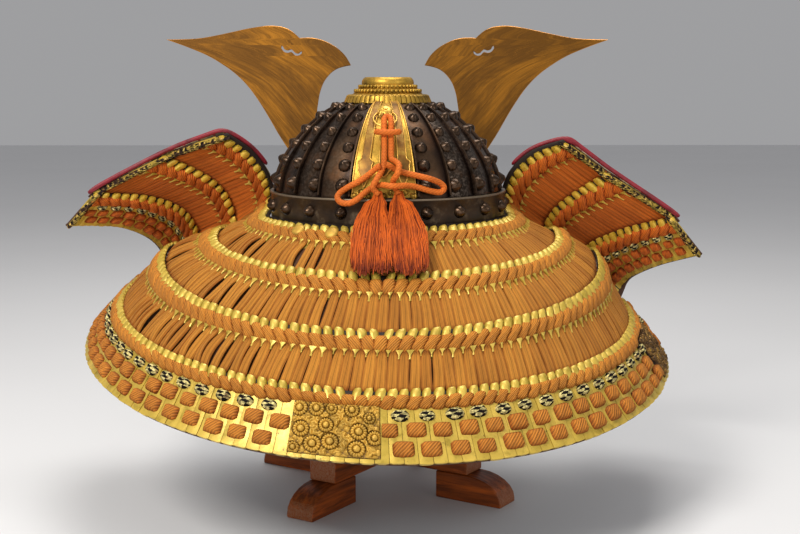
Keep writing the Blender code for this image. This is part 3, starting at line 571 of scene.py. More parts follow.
def modified(piece, name, kind, **settings):
    """Adds a live modifier to a piece."""
    made = piece.modifiers.new(name, kind)
    for key, value in settings.items():
        setattr(made, key, value)


def walled(piece, thickness):
    """Gives a sheet its thickness, with its second finish inside."""
    modified(piece, "wall", "SOLIDIFY", thickness=thickness, offset=-1, material_offset=1)


def rounder(piece, levels):
    modified(piece, "rounder", "SUBSURF", levels=levels, render_levels=levels)


def eased_edges(piece, width):
    turn = math.radians(40)
    modified(piece, "eased edges", "BEVEL", width=width, segments=3, limit_method="ANGLE", angle_limit=turn)


def marked(mesh, name, values):
    """Writes a number for each point of a mesh."""
    made = mesh.attributes.new(name, "FLOAT", "POINT")
    made.data.foreach_set("value", np.asarray(values, np.float32).ravel())


def points_of(mesh):
    found = np.empty(len(mesh.vertices) * 3, np.float32)
    mesh.vertices.foreach_get("co", found)
    return found.reshape(-1, 3).astype(float)


def merged(node):
    """A copy of a CAD node's mesh with its triangles joined up."""
    bm = bmesh.new()
    bm.from_mesh(frame["nodes"][node].data)
    joined(bm, 2e-5)
    return bm


def whole_faces(node):
    """A copy of a CAD node's mesh with the triangles of each flat face made one."""
    bm = merged(node)
    bmesh.ops.dissolve_limit(bm, angle_limit=math.radians(1.5), verts=bm.verts, edges=bm.edges)
    return bm


def node_points(node):
    bm = merged(node)
    spots = np.array([vert.co[:] for vert in bm.verts])
    bm.free()
    return spots


def away(point):
    return math.hypot(point[0] - AXIS[0], point[1] - AXIS[1])


def azimuth_of(point):
    """Where a point is round the helmet, in degrees."""
    return math.degrees(math.atan2(point[0] - AXIS[0], AXIS[1] - point[1]))


def compass(angle):
    """Outward directions at angles round the helmet, in radians."""
    return np.stack([np.sin(angle), -np.cos(angle), 0 * angle], axis=-1)


def outermost(chain):
    """How far out and up the middle of a row of points is."""
    middle = chain[len(chain) // 2]
    return away(middle) + middle[2]


def rails(node):
    """A sheet's long edges as rows of points that run toward +X: outer top, outer foot, inner top, inner foot.

    Short rungs as long as the sheet is thick join its two faces. They make one ring round its border, whose
    four sharpest turns are the sheet's corners.
    """
    bm = merged(node)
    sizes = [round(edge.calc_length(), 5) for edge in bm.edges]
    thickness = max(set(sizes), key=sizes.count)
    short = [edge for edge, size in zip(bm.edges, sizes) if abs(size - thickness) < 5e-5]
    rungs = {vert: edge for edge in short for vert in edge.verts}
    beside = {}
    for face in bm.faces:
        own = {rungs[vert] for vert in face.verts if vert in rungs}
        if len(own) == 2 and any(set(rung.verts) <= set(face.verts) for rung in own):
            for one, other in (tuple(own), tuple(own)[::-1]):
                beside.setdefault(one, set()).add(other)
    ring = [max(beside, key=lambda rung: rung.calc_face_angle(0))]
    while fresh := [rung for rung in beside[ring[-1]] if rung not in ring]:
        ring.append(min(fresh, key=lambda rung: rung.index))
    ring.append(ring[0])
    corners = sorted(sorted(range(1, len(ring) - 1), key=lambda place: -ring[place].calc_face_angle(0))[:3])
    corners = [0, *corners, len(ring) - 1]
    sides = [ring[one : other + 1] for one, other in zip(corners, corners[1:])]
    found = []
    for side in sorted(sides, key=len)[-2:]:
        chains = [[vert] for vert in side[0].verts]
        for chain in chains:
            for rung in side[1:]:
                step = {edge.other_vert(chain[-1]): edge.calc_face_angle(0) for edge in chain[-1].link_edges}
                chain.append(max(rung.verts, key=lambda vert: step.get(vert, -1)))
        chains = [np.array([vert.co[:] for vert in chain]) for chain in chains]
        chains = [chain if chain[0][0] < chain[-1][0] else chain[::-1] for chain in chains]
        found.append(sorted(chains, key=outermost))
    bm.free()
    foot, top = sorted(found, key=lambda pair: pair[0][len(pair[0]) // 2][2])
    return top[1], foot[1], top[0], foot[0]


def rounded(node, name, finishes):
    """A smooth copy of a curved CAD sheet that keeps its sharp borders. Its UV is across and up, in metres."""
    creases = 50
    bm = merged(node)
    bmesh.ops.join_triangles(bm, faces=bm.faces, angle_face_threshold=0.6, angle_shape_threshold=3.0)
    sharpness = bm.edges.layers.float.new("crease_edge")
    for edge in bm.edges:
        if len(edge.link_faces) == 2 and edge.calc_face_angle(0) > math.radians(creases):
            edge[sharpness] = 1.0
    lies = bm.loops.layers.uv.new("UVMap")
    for face in bm.faces:
        for loop in face.loops:
            loop[lies].uv = (abs(loop.vert.co.x), loop.vert.co.z)
    rounder(from_bmesh(name, bm, finishes, [node], creases), 2)


def softened(node, name, finish, levels):
    """A copy of a small CAD node, made round."""
    rounder(from_bmesh(name, whole_faces(node), [finish], [node], creases=80, outwards=False), levels)


def unit_vectors(vectors):
    return vectors / np.maximum(np.linalg.norm(vectors, axis=-1, keepdims=True), 1e-12)


def run_along(points):
    """The way run along a row of points, at each of them."""
    return np.concatenate([[0], np.cumsum(np.linalg.norm(np.diff(points, axis=0), axis=1))])


def between(before, here, there, after, part):
    """A point on the smooth curve through four, a part of the way from the second to the third."""
    bend = 2 * before - 5 * here + 4 * there - after + part * (3 * (here - there) + after - before)
    return here + 0.5 * part * (there - before + part * bend)


def ease(value, start, end):
    """0 before the start, 1 after the end and a soft rise between them."""
    part = np.clip((np.asarray(value, float) - start) / (end - start), 0, 1)
    return part * part * (3 - 2 * part)


class Row:
    """A curved face between rows of points. u counts columns, v goes down, and height stands off the face."""

    def __init__(self, shares, rows):
        self.shares, self.rows = np.array(shares, float), np.array(rows)
        self.last = self.rows.shape[1] - 1

    def points(self, u, v):
        u, v = np.broadcast_arrays(np.asarray(u, float), np.asarray(v, float))
        column = np.clip(np.floor(u).astype(int), 0, self.last - 1)
        part = (u - column)[..., None]
        below = np.clip(np.searchsorted(self.shares, v, "right") - 1, 0, len(self.shares) - 2)
        share = ((v - self.shares[below]) / (self.shares[below + 1] - self.shares[below]))[..., None]
        starts, ends = (column > 0)[..., None], (column + 2 <= self.last)[..., None]
        found = 0.0
        for row, weight in ((below, 1 - share), (below + 1, share)):
            here, there = self.rows[row, column], self.rows[row, column + 1]
            before = np.where(starts, self.rows[row, np.maximum(column - 1, 0)], 2 * here - there)
            after = np.where(ends, self.rows[row, np.minimum(column + 2, self.last)], 2 * there - here)
            found = found + weight * between(before, here, there, after, part)
        return found

    def out(self, u, v):
        across = self.points(u + 0.08, v) - self.points(u - 0.08, v)
        down = self.points(u, v + 0.03) - self.points(u, v - 0.03)
        return unit_vectors(np.cross(down, across))

    def place(self, u, v, height):
        u, v, height = np.broadcast_arrays(u, v, height)
        return self.points(u, v) + self.out(u, v) * height[..., None]

    def spaced(self, pitch, v, first=0.0, last=None):
        """Evenly spaced columns along a row, the columns in a metre at each, and the pitch that fits."""
        fine = np.linspace(first, self.last if last is None else last, 1500)
        run = run_along(self.points(fine, v))
        count = max(1, round(run[-1] / pitch))
        at = (np.arange(count) + 0.5) * run[-1] / count
        reach = 0.002
        ahead, behind = np.interp(at + reach, run, fine), np.interp(at - reach, run, fine)
        return np.interp(at, run, fine), (ahead - behind) / (2 * reach), run[-1] / count

    def wide(self, first, last, steps):
        """How many metres a stretch of columns is, half way down."""
        return np.linalg.norm(np.diff(self.points(np.linspace(first, last, steps), 0.5), axis=0), axis=1).sum()

    def tall(self, u):
        """How many metres one v is at a column."""
        return np.linalg.norm(self.points(u, 1.0) - self.points(u, 0.0), axis=-1)

    def side(self, u):
        """How far a column is to one side of the middle: negative toward -X."""
        return u - self.last / 2

    def wing(self, u):
        """0 on the neck guard, rising to 1 on the wings, which the short bottom lame doesn't have."""
        return ease(np.abs(self.side(u)), FOLD - 0.4, FOLD + 0.9) if self.last > 30 else np.zeros(np.shape(u))


class Unit:
    """A small shape to be repeated, as arrays of its points and faces."""

    def __init__(self, bm):
        bm.verts.index_update()
        self.co = np.array([vert.co[:] for vert in bm.verts])
        self.x, self.y, self.low = self.co[:, 0], self.co[:, 1], self.co[:, 2] < -0.5
        self.loops = np.array([vert.index for face in bm.faces for vert in face.verts])
        sizes = [len(face.verts) for face in bm.faces]
        self.starts = np.concatenate([[0], np.cumsum(sizes)[:-1]]).astype(int)
        bm.free()


def grid(columns, rows):
    """A flat grid over x and y from -0.5 to 0.5."""
    bm = bmesh.new()
    bmesh.ops.create_grid(bm, x_segments=columns, y_segments=rows, size=0.5)
    return bm


def turned_rim(bm):
    """Extrudes a sheet's border and gives the new points, which the caller sets down."""
    rim = [edge for edge in bm.edges if edge.is_boundary]
    made = bmesh.ops.extrude_edge_only(bm, edges=rim)["geom"]
    return [item for item in made if isinstance(item, bmesh.types.BMVert)]


def pad(columns, rows):
    """A grid with a border that turns down. Its low points are the border's."""
    bm = grid(columns, rows)
    for vert in turned_rim(bm):
        vert.co.z = -1.0
    faced(bm, lambda bm: next(face for face in bm.faces if abs(face.normal.z) > 0.9).normal.z < 0)
    return Unit(bm)


def thread_unit(sides, steps):
    """A tube's wall: cosine, sine and the share of its length from 0 to 1."""
    bm = bmesh.new()
    bmesh.ops.create_cone(bm, segments=sides, radius1=1, radius2=1, depth=1, cap_ends=False)
    uprights = [edge for edge in bm.edges if abs(edge.verts[0].co.z - edge.verts[1].co.z) > 0.5]
    bmesh.ops.subdivide_edges(bm, edges=uprights, cuts=steps - 1, use_grid_fill=True)
    bmesh.ops.translate(bm, verts=bm.verts, vec=(0, 0, 0.5))
    return Unit(bm)


def spun(profile, sides, to=(0, 0, 0)):
    """A profile of (radius, height) turned about the upright axis through a point."""
    bm = bmesh.new()
    verts = [bm.verts.new((radius, 0, height)) for radius, height in profile]
    edges = [bm.edges.new(pair) for pair in zip(verts, verts[1:])]
    axis, middle = (0, 0, 1), (0, 0, 0)
    turn = {"angle": math.tau, "steps": sides, "use_merge": True}
    bmesh.ops.spin(bm, geom=verts + edges, axis=axis, cent=middle, **turn)
    joined(bm)
    faced(bm)
    bmesh.ops.translate(bm, verts=bm.verts, vec=Vector(to))
    return bm


def repeated(name, unit, places, finish, slot, replaced=(), creases=40, flip=None, **marks):
    """Copies of a unit joined into one piece.

    places holds every copy's points, and each mark has a number for each copy or for each of its points.
    """
    count, size = places.shape[:2]
    mesh = bpy.data.meshes.new(name)
    mesh.vertices.add(count * size)
    mesh.vertices.foreach_set("co", places.astype(np.float32).ravel())
    loops = (unit.loops + size * np.arange(count)[:, None]).ravel()
    starts = (unit.starts + len(unit.loops) * np.arange(count)[:, None]).ravel()
    mesh.loops.add(len(loops))
    mesh.loops.foreach_set("vertex_index", loops.astype(np.int32))
    mesh.polygons.add(len(starts))
    mesh.polygons.foreach_set("loop_start", starts.astype(np.int32))
    mesh.update(calc_edges=True)
    cloth = mesh.uv_layers.new(name="UVMap")
    flat = np.tile(unit.co[unit.loops, :2] + 0.5, (count, 1, 1))
    if flip is not None:
        flat[flip, :, 0] = 1 - flat[flip, :, 0]
    cloth.data.foreach_set("uv", flat.astype(np.float32).ravel())
    smoothed(mesh, creases)
    for mark, values in marks.items():
        values = np.asarray(values, float)
        marked(mesh, mark, np.broadcast_to(values[:, None] if values.ndim == 1 else values, (count, size)))
    return finished(name, mesh, [finish], replaced)


def standing(spots, outs, unit, size):
    """The points of a unit set upright at each spot, made larger by size, with its z outward."""
    up = np.broadcast_to([0.0, 0.0, 1.0], outs.shape)
    across = unit_vectors(np.cross(up, outs) + [1e-9, 0, 0])
    climb = np.cross(outs, across)
    axes = np.stack([across, climb, outs], axis=2)
    size = np.broadcast_to(np.asarray(size, float), (len(spots),))
    return np.einsum("nij,pj->npi", axes, unit.co) * size[:, None, None] + spots[:, None, :]


def encircle(name, unit, angle, radius, height, size, finish, slot, creases):
    """Copies of a unit set at angles round the helmet."""
    outs = compass(angle)
    places = standing(AXIS + outs * radius + [0, 0, height], outs, unit, size)
    repeated(name, unit, places, finish, slot, creases=creases)


def curved(route, step, closed=False):
    """Points about a step apart on the smooth curve through a route."""
    route = np.array(route, float)
    if closed:
        extended, last = np.vstack([route[-1], route, route[:2]]), route[:1]
    else:
        extended, last = np.vstack([2 * route[0] - route[1], route, 2 * route[-1] - route[-2]]), route[-1:]
    part = np.linspace(0, 1, 24, endpoint=False)[:, None]
    fine = [between(*extended[span : span + 4], part) for span in range(len(extended) - 3)]
    fine = np.vstack([*fine, last])
    run = run_along(fine)
    at = np.linspace(0, run[-1], max(3, round(run[-1] / step) + 1))
    return np.stack([np.interp(at, run, fine[:, axis]) for axis in range(3)], axis=1)


def carried_frames(path):
    """Two directions across a path at each of its points, carried along without twist."""
    heading = unit_vectors(np.gradient(path, axis=0))
    side = unit_vectors(np.cross(heading[0], [0.13, 0.31, 0.94]))
    sides = [side]
    for way in heading[1:]:
        side = unit_vectors(side - way * side.dot(way))
        sides.append(side)
    sides = np.array(sides)
    return sides, np.cross(heading, sides)


def tube(path, radius, around):
    """A closed tube along a path as a bmesh. radius takes the turn round it and the ring's number."""
    rings = len(path) - 1
    bm = grid(around, rings)
    sides, others = carried_frames(path)
    for vert in bm.verts:
        turn = math.tau * (vert.co.x + 0.5)
        ring = round((vert.co.y + 0.5) * rings)
        reach = radius(turn, ring)
        vert.co = path[ring] + (sides[ring] * math.cos(turn) + others[ring] * math.sin(turn)) * reach
    joined(bm)
    bmesh.ops.holes_fill(bm, edges=[edge for edge in bm.edges if edge.is_boundary])
    return bm


def wire(name, path, radius, around, finish):
    """A plain thin wire."""
    from_bmesh(name, tube(path, lambda turn, ring: radius, around), [finish], creases=80)


def sheet(row, columns, rows, height, recess, first, last, top, foot):
    """A grid over part of a laced row, at a height above its face. Its UV is metres along and v."""
    bm = grid(columns, rows)
    u = np.array([first + (last - first) * (vert.co.x + 0.5) for vert in bm.verts])
    v = np.array([top + (foot - top) * (0.5 - vert.co.y) for vert in bm.verts])
    wide = row.wide(first, last, 200)
    lies = bm.loops.layers.uv.new("UVMap")
    deep = bm.verts.layers.float.new("recess")
    for vert, share, place, depth in zip(bm.verts, v, row.place(u, v, height(u, v)), recess(u, v)):
        for loop in vert.link_loops:
            loop[lies].uv = ((vert.co.x + 0.5) * wide, share)
        vert.co = place
        vert[deep] = depth
    return bm


def laced_rows():
    """The outer faces of the four lames. The face of an upper lame runs on a little behind the next one."""
    rows = []
    for number in range(1, LAMES + 1):
        top, foot, _, _ = rails(f"neck_lame_{number}")
        _, _, _, lacing_foot = rails(f"lacing_{number}")
        rows.append(Row([0, 1, 1.2], [top, lacing_foot, foot]))
    top, foot, _, _ = rails("neck_lame_4")
    rows.append(Row([0, 1], [top, foot]))
    return rows


# ---- the bowl's shape ----

PLATES = 22
BACK_RIDGE = -2.0  # azimuth of the joint in the middle of the back


class Dome:
    """The bowl's outside between its ridges, by azimuth and by the way run down it from the crown."""

    def __init__(self):
        spots = node_points("bowl") - AXIS
        radius = np.hypot(spots[:, 0], spots[:, 1])
        turn = np.degrees(np.arctan2(spots[:, 0], -spots[:, 1])) - BACK_RIDGE
        beside = np.abs(radius * np.sin(np.radians(turn)))
        foot = (beside > 0.0009) & (beside < 0.0013) & (np.abs(turn) < 4.5)  # of the ridge at the back
        pairs = zip(radius[foot], spots[foot, 2])
        profile = sorted({(round(float(r), 5), round(float(z), 5)) for r, z in pairs})
        hull = []
        for spot in sorted(profile, key=lambda spot: (spot[0], -spot[1])):
            while len(hull) > 1 and self.left(hull[-2], hull[-1], spot) >= -1e-9:
                hull.pop()
            hull.append(spot)
        lowest = min(height for _, height in profile)
        hull.append(max(spot for spot in profile if spot[1] < lowest + 1e-4))
        smooth = curved([(r, 0, z) for r, z in hull], 0.0008)
        self.radius, self.height = smooth[:, 0], smooth[:, 2]
        run = np.hypot(np.diff(self.radius), np.diff(self.height))
        self.run = np.concatenate([[0], np.cumsum(run)])
        tangent = unit_vectors(np.stack([np.gradient(self.radius), np.gradient(self.height)], axis=1))
        self.out = np.stack([-tangent[:, 1], tangent[:, 0]], axis=1)
        self.spots = spots

    @staticmethod
    def left(one, two, three):
        return (two[0] - one[0]) * (three[1] - one[1]) - (two[1] - one[1]) * (three[0] - one[0])

    def wide(self, run):
        """The radius at a way run down."""
        return float(np.interp(run, self.run, self.radius))

    def point(self, azimuth, run, lift=0.0):
        radius = np.interp(run, self.run, self.radius) + np.interp(run, self.run, self.out[:, 0]) * lift
        height = np.interp(run, self.run, self.height) + np.interp(run, self.run, self.out[:, 1]) * lift
        angle = np.radians(azimuth)
        return np.stack([radius * np.sin(angle), -radius * np.cos(angle), height + 0 * angle], axis=-1) + AXIS

    def outward(self, azimuth, run):
        return unit_vectors(self.point(azimuth, run, 0.01) - self.point(azimuth, run))

    def down_to(self, height):
        """The way run down to a height."""
        return np.interp(-np.asarray(height), -self.height, self.run)

    def span(self, node):
        """The ways run down to the top and to the foot of a piece on the bowl."""
        low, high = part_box(node)
        return self.down_to(high.z), self.down_to(low.z)

    def rivets(self):
        """Azimuth, run and radius of each rivet, from the tips that stand off the bowl."""
        found = []
        for x, y, z in self.spots:
            radius = math.hypot(x, y)
            gaps = np.hypot(self.radius - radius, self.height - z)
            near = int(gaps.argmin())
            out = (radius - self.radius[near]) * self.out[near, 0] + (z - self.height[near]) * self.out[near, 1]
            if 0.0027 < gaps[near] < 0.0045 and out > 0:
                found.append((math.degrees(math.atan2(x, -y)), self.run[near], gaps[near] / 0.9))
        return np.array(found)


ROWS = laced_rows()
RIM_ROW = ROWS[LAMES]
DOME = Dome()


# ---- cord and tassels ----

CORD = 0.0046  # diameter
CORD_REACH = CORD / 2 + 0.0002  # to the ridges of its plait

# Where the cord runs about the helmet's axis, in tenths of a millimetre
TENTHS = 10000
CORD_ROUTE = [  # from one tassel up through the ring and down to the other
    (-78, -1095, 2748), (-105, -1100, 2775), (-122, -1110, 2812), (-92, -1095, 2869), (-62, -1040, 2912),
    (-36, -975, 2965), (-30, -945, 3031), (-28, -880, 3133), (-30, -810, 3228), (-32, -768, 3300),
    (-28, -715, 3345), (-4, -678, 3360), (22, -715, 3345), (28, -768, 3300), (26, -810, 3228),
    (28, -880, 3133), (29, -945, 3031), (60, -990, 3008), (90, -1065, 2980), (78, -1115, 2920),
    (46, -1075, 2865), (42, -1050, 2825), (68, -1070, 2780), (88, -1095, 2748),
]
BOW_ROUTE = [  # the closed bow across it
    (-15, -1040, 2985), (58, -1005, 2945), (125, -1002, 2918), (220, -998, 2895), (343, -992, 2865),
    (426, -955, 2828), (458, -945, 2788), (426, -965, 2755), (343, -1000, 2768), (245, -1020, 2798),
    (165, -1050, 2815), (100, -1100, 2818), (25, -1130, 2818), (-55, -1070, 2822), (-130, -1028, 2795),
    (-190, -1040, 2755), (-250, -1066, 2705), (-316, -1075, 2675), (-381, -1050, 2680), (-410, -1015, 2715),
    (-383, -985, 2758), (-309, -988, 2806), (-211, -995, 2860), (-130, -1010, 2922), (-75, -1030, 2968),
]
WRAP_ROUTE = [  # the turn that binds the two strands below the ring
    (-88, -800, 3238), (-88, -838, 3240), (-52, -868, 3238), (0, -874, 3236), (52, -868, 3238),
    (88, -838, 3240), (88, -800, 3238),
]
PLAIT_DEPTH = 0.00036
BOW_GAP = 6  # steps that the closed bow leaves open inside the knot
TASSEL_LEAN = 0.35  # how far the levels of a tassel rise toward the bowl


def plaited(pitch, step):
    """The radius of a round plait: strands that cross over and under on a slant."""

    def radius(turn, ring):
        climb = math.pi * ring * step / pitch
        one, other = 3 * turn + climb, 3 * turn - climb
        over = (math.floor(one / math.pi) + math.floor(other / math.pi)) % 2
        return CORD_REACH - PLAIT_DEPTH * (1 - abs(math.sin(one if over else other)) ** 0.7)

    return radius


def round_cord(name, route, plait, replaced, closed=False):
    """A plaited cord along a route about the helmet's axis, and the path of its middle."""
    step = plait / 4
    path = curved(np.array(route) / TENTHS + AXIS, step, closed)
    if closed:
        path = path[:-BOW_GAP]
    bm = tube(path, plaited(plait, step), 24)
    cord = from_bmesh(name, bm, [cord_silk()], [replaced], creases=80)
    # painted shade: the deeper a point lies in the plait's grooves, the darker
    depth = CORD_REACH - np.linalg.norm(points_of(cord.data)[:, None] - path[None, :], axis=2).min(axis=1)
    marked(cord.data, "shade", 0.55 * np.clip(depth / PLAIT_DEPTH, 0, 1) ** 1.5)
    return cord, path


def tassel_sections(node):
    """Middle, half width and half depth of a tassel's solid at each of its levels, from the top down."""
    spots = node_points(node)
    level = np.round((spots[:, 2] - TASSEL_LEAN * spots[:, 1]) * 2000)
    sections = []
    for value in sorted(set(level), reverse=True):
        ring = spots[np.abs(level - value) <= 1]
        if len(ring) > 8 and (not sections or abs(sections[-1][0][2] - ring[:, 2].mean()) > 0.0012):
            middle = (ring.max(0) + ring.min(0)) / 2
            sections.append((middle, np.ptp(ring[:, 0]) / 2, np.ptp(ring[:, 1]) / 2))
    return sections


def add_tassel(node, threads, seed):
    """A tassel's threads, spread through its solid in loose clumps from a tied head to an uneven foot, darkened
    there as painted shade.
    """
    rng = np.random.default_rng(seed)
    sections = tassel_sections(node)
    middle, width, depth = sections[0]
    sections.insert(0, (middle + [0.0, 0.0035, 0.0060], width * 0.55, depth * 0.55))
    middles, widths, depths = (np.array(part) for part in zip(*sections))
    widths = widths * np.interp(np.arange(len(widths)), [0, 1, 3, len(widths) - 1], [2.3, 2.15, 1.66, 1.10])
    levels = np.linspace(0, 1, len(sections))
    unit = thread_unit(3, 14)
    share = unit.co[:, 2]
    reach = np.sqrt(rng.random(threads)) * 0.94
    turn = rng.random(threads) * math.tau
    across, back = reach * np.cos(turn), reach * np.sin(turn)
    end = 0.92 + 0.075 * rng.random(threads) + 0.015 * np.sin(across * 5 + seed)
    at = share[None, :] * end[:, None]
    clump = np.round(across * 5) / 5
    drift = (0.62 + 0.38 * at) * across[:, None] + 0.38 * (1 - at) * clump[:, None]
    phase = rng.random((3, threads, 1))
    wander = 0.07 * np.sin(at * (5 + 4 * phase[0]) + phase[1] * 9) * at
    wander = wander + 0.030 * np.sin(at * (20 + 12 * phase[2]) + phase[0] * 6) * ease(at, 0.1, 0.5)
    x, y, z = (np.interp(at, levels, middles[:, axis]) for axis in range(3))
    width, depth = np.interp(at, levels, widths), np.interp(at, levels, depths)
    thick = 0.00046 * (1 - 0.20 * share)
    x = x + width * np.clip(drift + wander, -1.1, 1.1) + thick * unit.x
    y = y + depth * np.clip(back[:, None] + wander, -1.0, 1.0) + thick * unit.y
    z = z + TASSEL_LEAN * depth * back[:, None]
    # shade: a random tone per thread, plus painted shade on the threads toward the back
    shade = 1.10 * rng.random(threads)[:, None] ** 1.8 + 0.4 * (back[:, None] > 0.2) - 0.1
    # painted shade at the foot of the tassel
    shade = shade + (0.25 + 1.1 * rng.random(threads)[:, None]) * ease(at, 0.84, 0.94)
    finish, places = cord_silk("tassel_silk", name="tassel_silk"), np.stack([x, y, z], axis=2)
    shade = np.clip(shade, 0, 1)
    return repeated(node + "_threads", unit, places, finish, "orange_cord", [node], creases=80, shade=shade)


class KABUTO_OT_cords(bpy.types.Operator):
    """Plait the bow's cord and hang its two tassels"""

    bl_idname = "kabuto.cords"
    bl_label = "Cord and Tassels"

    def execute(self, context):
        settings = context.scene.kabuto_sizes
        plait, threads = settings.cord_plait, settings.tassel_threads
        tassels = [add_tassel("tassel_left", threads, 3), add_tassel("tassel_right", threads, 8)]
        wrap, _ = round_cord("cord_wrap", WRAP_ROUTE, plait, "bow_wrap")
        cord, path = round_cord("cord_through_ring", CORD_ROUTE, plait, "bow_cord")
        bow, bow_path = round_cord("cord_bow", BOW_ROUTE, plait, "bow_loops", closed=True)
        return {"FINISHED"}


# ---- lames and their lacing ----

LAME_WALL = 0.0022
FLOWER_NODES = ("flower_plate_back", "flower_plate_right")
STUDS = (-0.068, -0.041)  # where across the top lame its gilt rivet heads are
BRAID_PITCH = 1.1  # in scales

# From where to where down a lame each row of its dress goes
SCALE_FOOT = 0.175
BRAID_TOP, BRAID_FOOT = 0.130, 0.390
POINTS_TOP, POINTS_FOOT = 0.365, 0.515
STRAP_TOP, STRAP_FOOT = 0.36, 1.05
RIM_BRAID = (0.105, 0.285)
FLOWERS_TOP, FLOWERS_FOOT = 0.25, 0.945
PLATES_TOP = 0.25
KNOT_ROW, BLOCK_ROWS = (0.285, 0.445), ((0.455, 0.665), (0.70, 0.915))
WING_KNOT_ROW, WING_BLOCK_ROWS = (0.345, 0.50), ((0.51, 0.70), (0.72, 0.91))


class Draws:
    """Seeded random numbers, one for each copy, as a column."""

    def __init__(self, seed, count):
        self.source, self.count = np.random.default_rng(seed), count

    def even(self):
        """From 0 to 1."""
        return self.source.random(self.count)[:, None]

    def bell(self):
        """About 0, most within 1."""
        return self.source.standard_normal(self.count)[:, None]


def lay_scales(name, row, pitch, seed):
    """A row of gilt scale heads: upright tabs with rounded tops, each a little over the next."""
    centre, per_metre, pitch = row.spaced(pitch, 0.08)
    centre, per_metre, draws = centre[:, None], per_metre[:, None], Draws(seed, len(centre))
    unit = pad(4, 4)
    x, climb = 2 * unit.x, unit.y + 0.5
    side = np.sign(row.side(centre))
    narrow = 1 - 0.34 * np.clip((climb - 0.70) / 0.30, 0, 1) ** 2.4
    across = unit.x * pitch * 0.82 * narrow * np.where(unit.low, 1.04, 1.0)
    dome = 0.0014 + 0.0015 * (1 - x**4) * (1 - np.clip((climb - 0.6) / 0.4, 0, 1) ** 3 * 0.8)
    size = 0.86 + 0.22 * draws.even()
    lean = 0.0007 * x * side
    jitter = 0.0003 * draws.bell()
    tilt = 0.26 * pitch * climb * side
    u = centre + (across * size + jitter + tilt) * per_metre
    v = SCALE_FOOT * (1 - climb) + 0.012 * draws.even()
    height = np.where(unit.low, -0.0004, dome) * size + np.where(unit.low, 0, 1) * lean
    # shade: a random tone plus painted shade toward each scale's sides
    shade = np.clip(0.5 * draws.even() + 0.5 * np.abs(x) ** 3, 0, 1)
    repeated(name, unit, row.place(u, v, height), gilt_lacquer(), "gilt_lacquer", shade=shade, wing=row.wing(u))


def lay_braid(name, row, pitch, seed, top=BRAID_TOP, foot=BRAID_FOOT, covers=()):
    """A row of plump bundles of fine cords laid like a rope, slanting down toward the middle of the back."""
    centre, per_metre, pitch = row.spaced(pitch, (top + foot) / 2)
    flip = row.side(centre) < 0
    centre, per_metre, draws = centre[:, None], per_metre[:, None], Draws(seed, len(centre))
    unit = pad(8, 7)
    a, t = unit.x, unit.y
    side = np.tanh(row.side(centre) / 1.5)
    tall = row.tall(centre) * (foot - top)
    loose = 1 + 0.12 * draws.bell()
    hook = t + 0.16 * np.sin(2 * t * math.pi)
    across = side * hook * tall * 0.52 + a * pitch * 1.12
    pinch = 1 - 0.26 * np.abs(2 * a) ** 3
    v = (top + foot) / 2 - t * (foot - top) * 1.06 * pinch + 0.006 * draws.bell()
    plump = (1 - np.abs(2 * a * 0.99) ** 3.0) ** 0.6 * (1 - 0.75 * np.abs(2 * t) ** 3.5)
    height = 0.0010 + 0.0036 * plump * loose + 0.0016 * side * a
    for start, end in covers:  # the bundles lie flatter under the flower plates
        under = ease(centre, start - 0.3, start) * ease(-centre, -end - 0.3, -end)
        height = height * (1 - 0.8 * under * ease(v, FLOWERS_TOP - 0.04, FLOWERS_TOP))
    height = np.where(unit.low, 0.0001, height)
    u = np.clip(centre + across * per_metre, 0.01, row.last - 0.01)
    # shade: painted shade in the seams between bundles and at their ends, with a random tone
    shade = np.clip(0.75 * np.abs(2 * a) ** 5 + 0.18 * draws.even() + 0.3 * np.abs(2 * t) ** 6, 0, 1)
    finish = silk(2.1, math.radians(42), 0.42, (0.88, 0.78, 0.72), name="braid_silk")
    places = row.place(u, v, height)
    repeated(name, unit, places, finish, "orange_silk", creases=70, flip=flip, shade=shade, wing=row.wing(u))


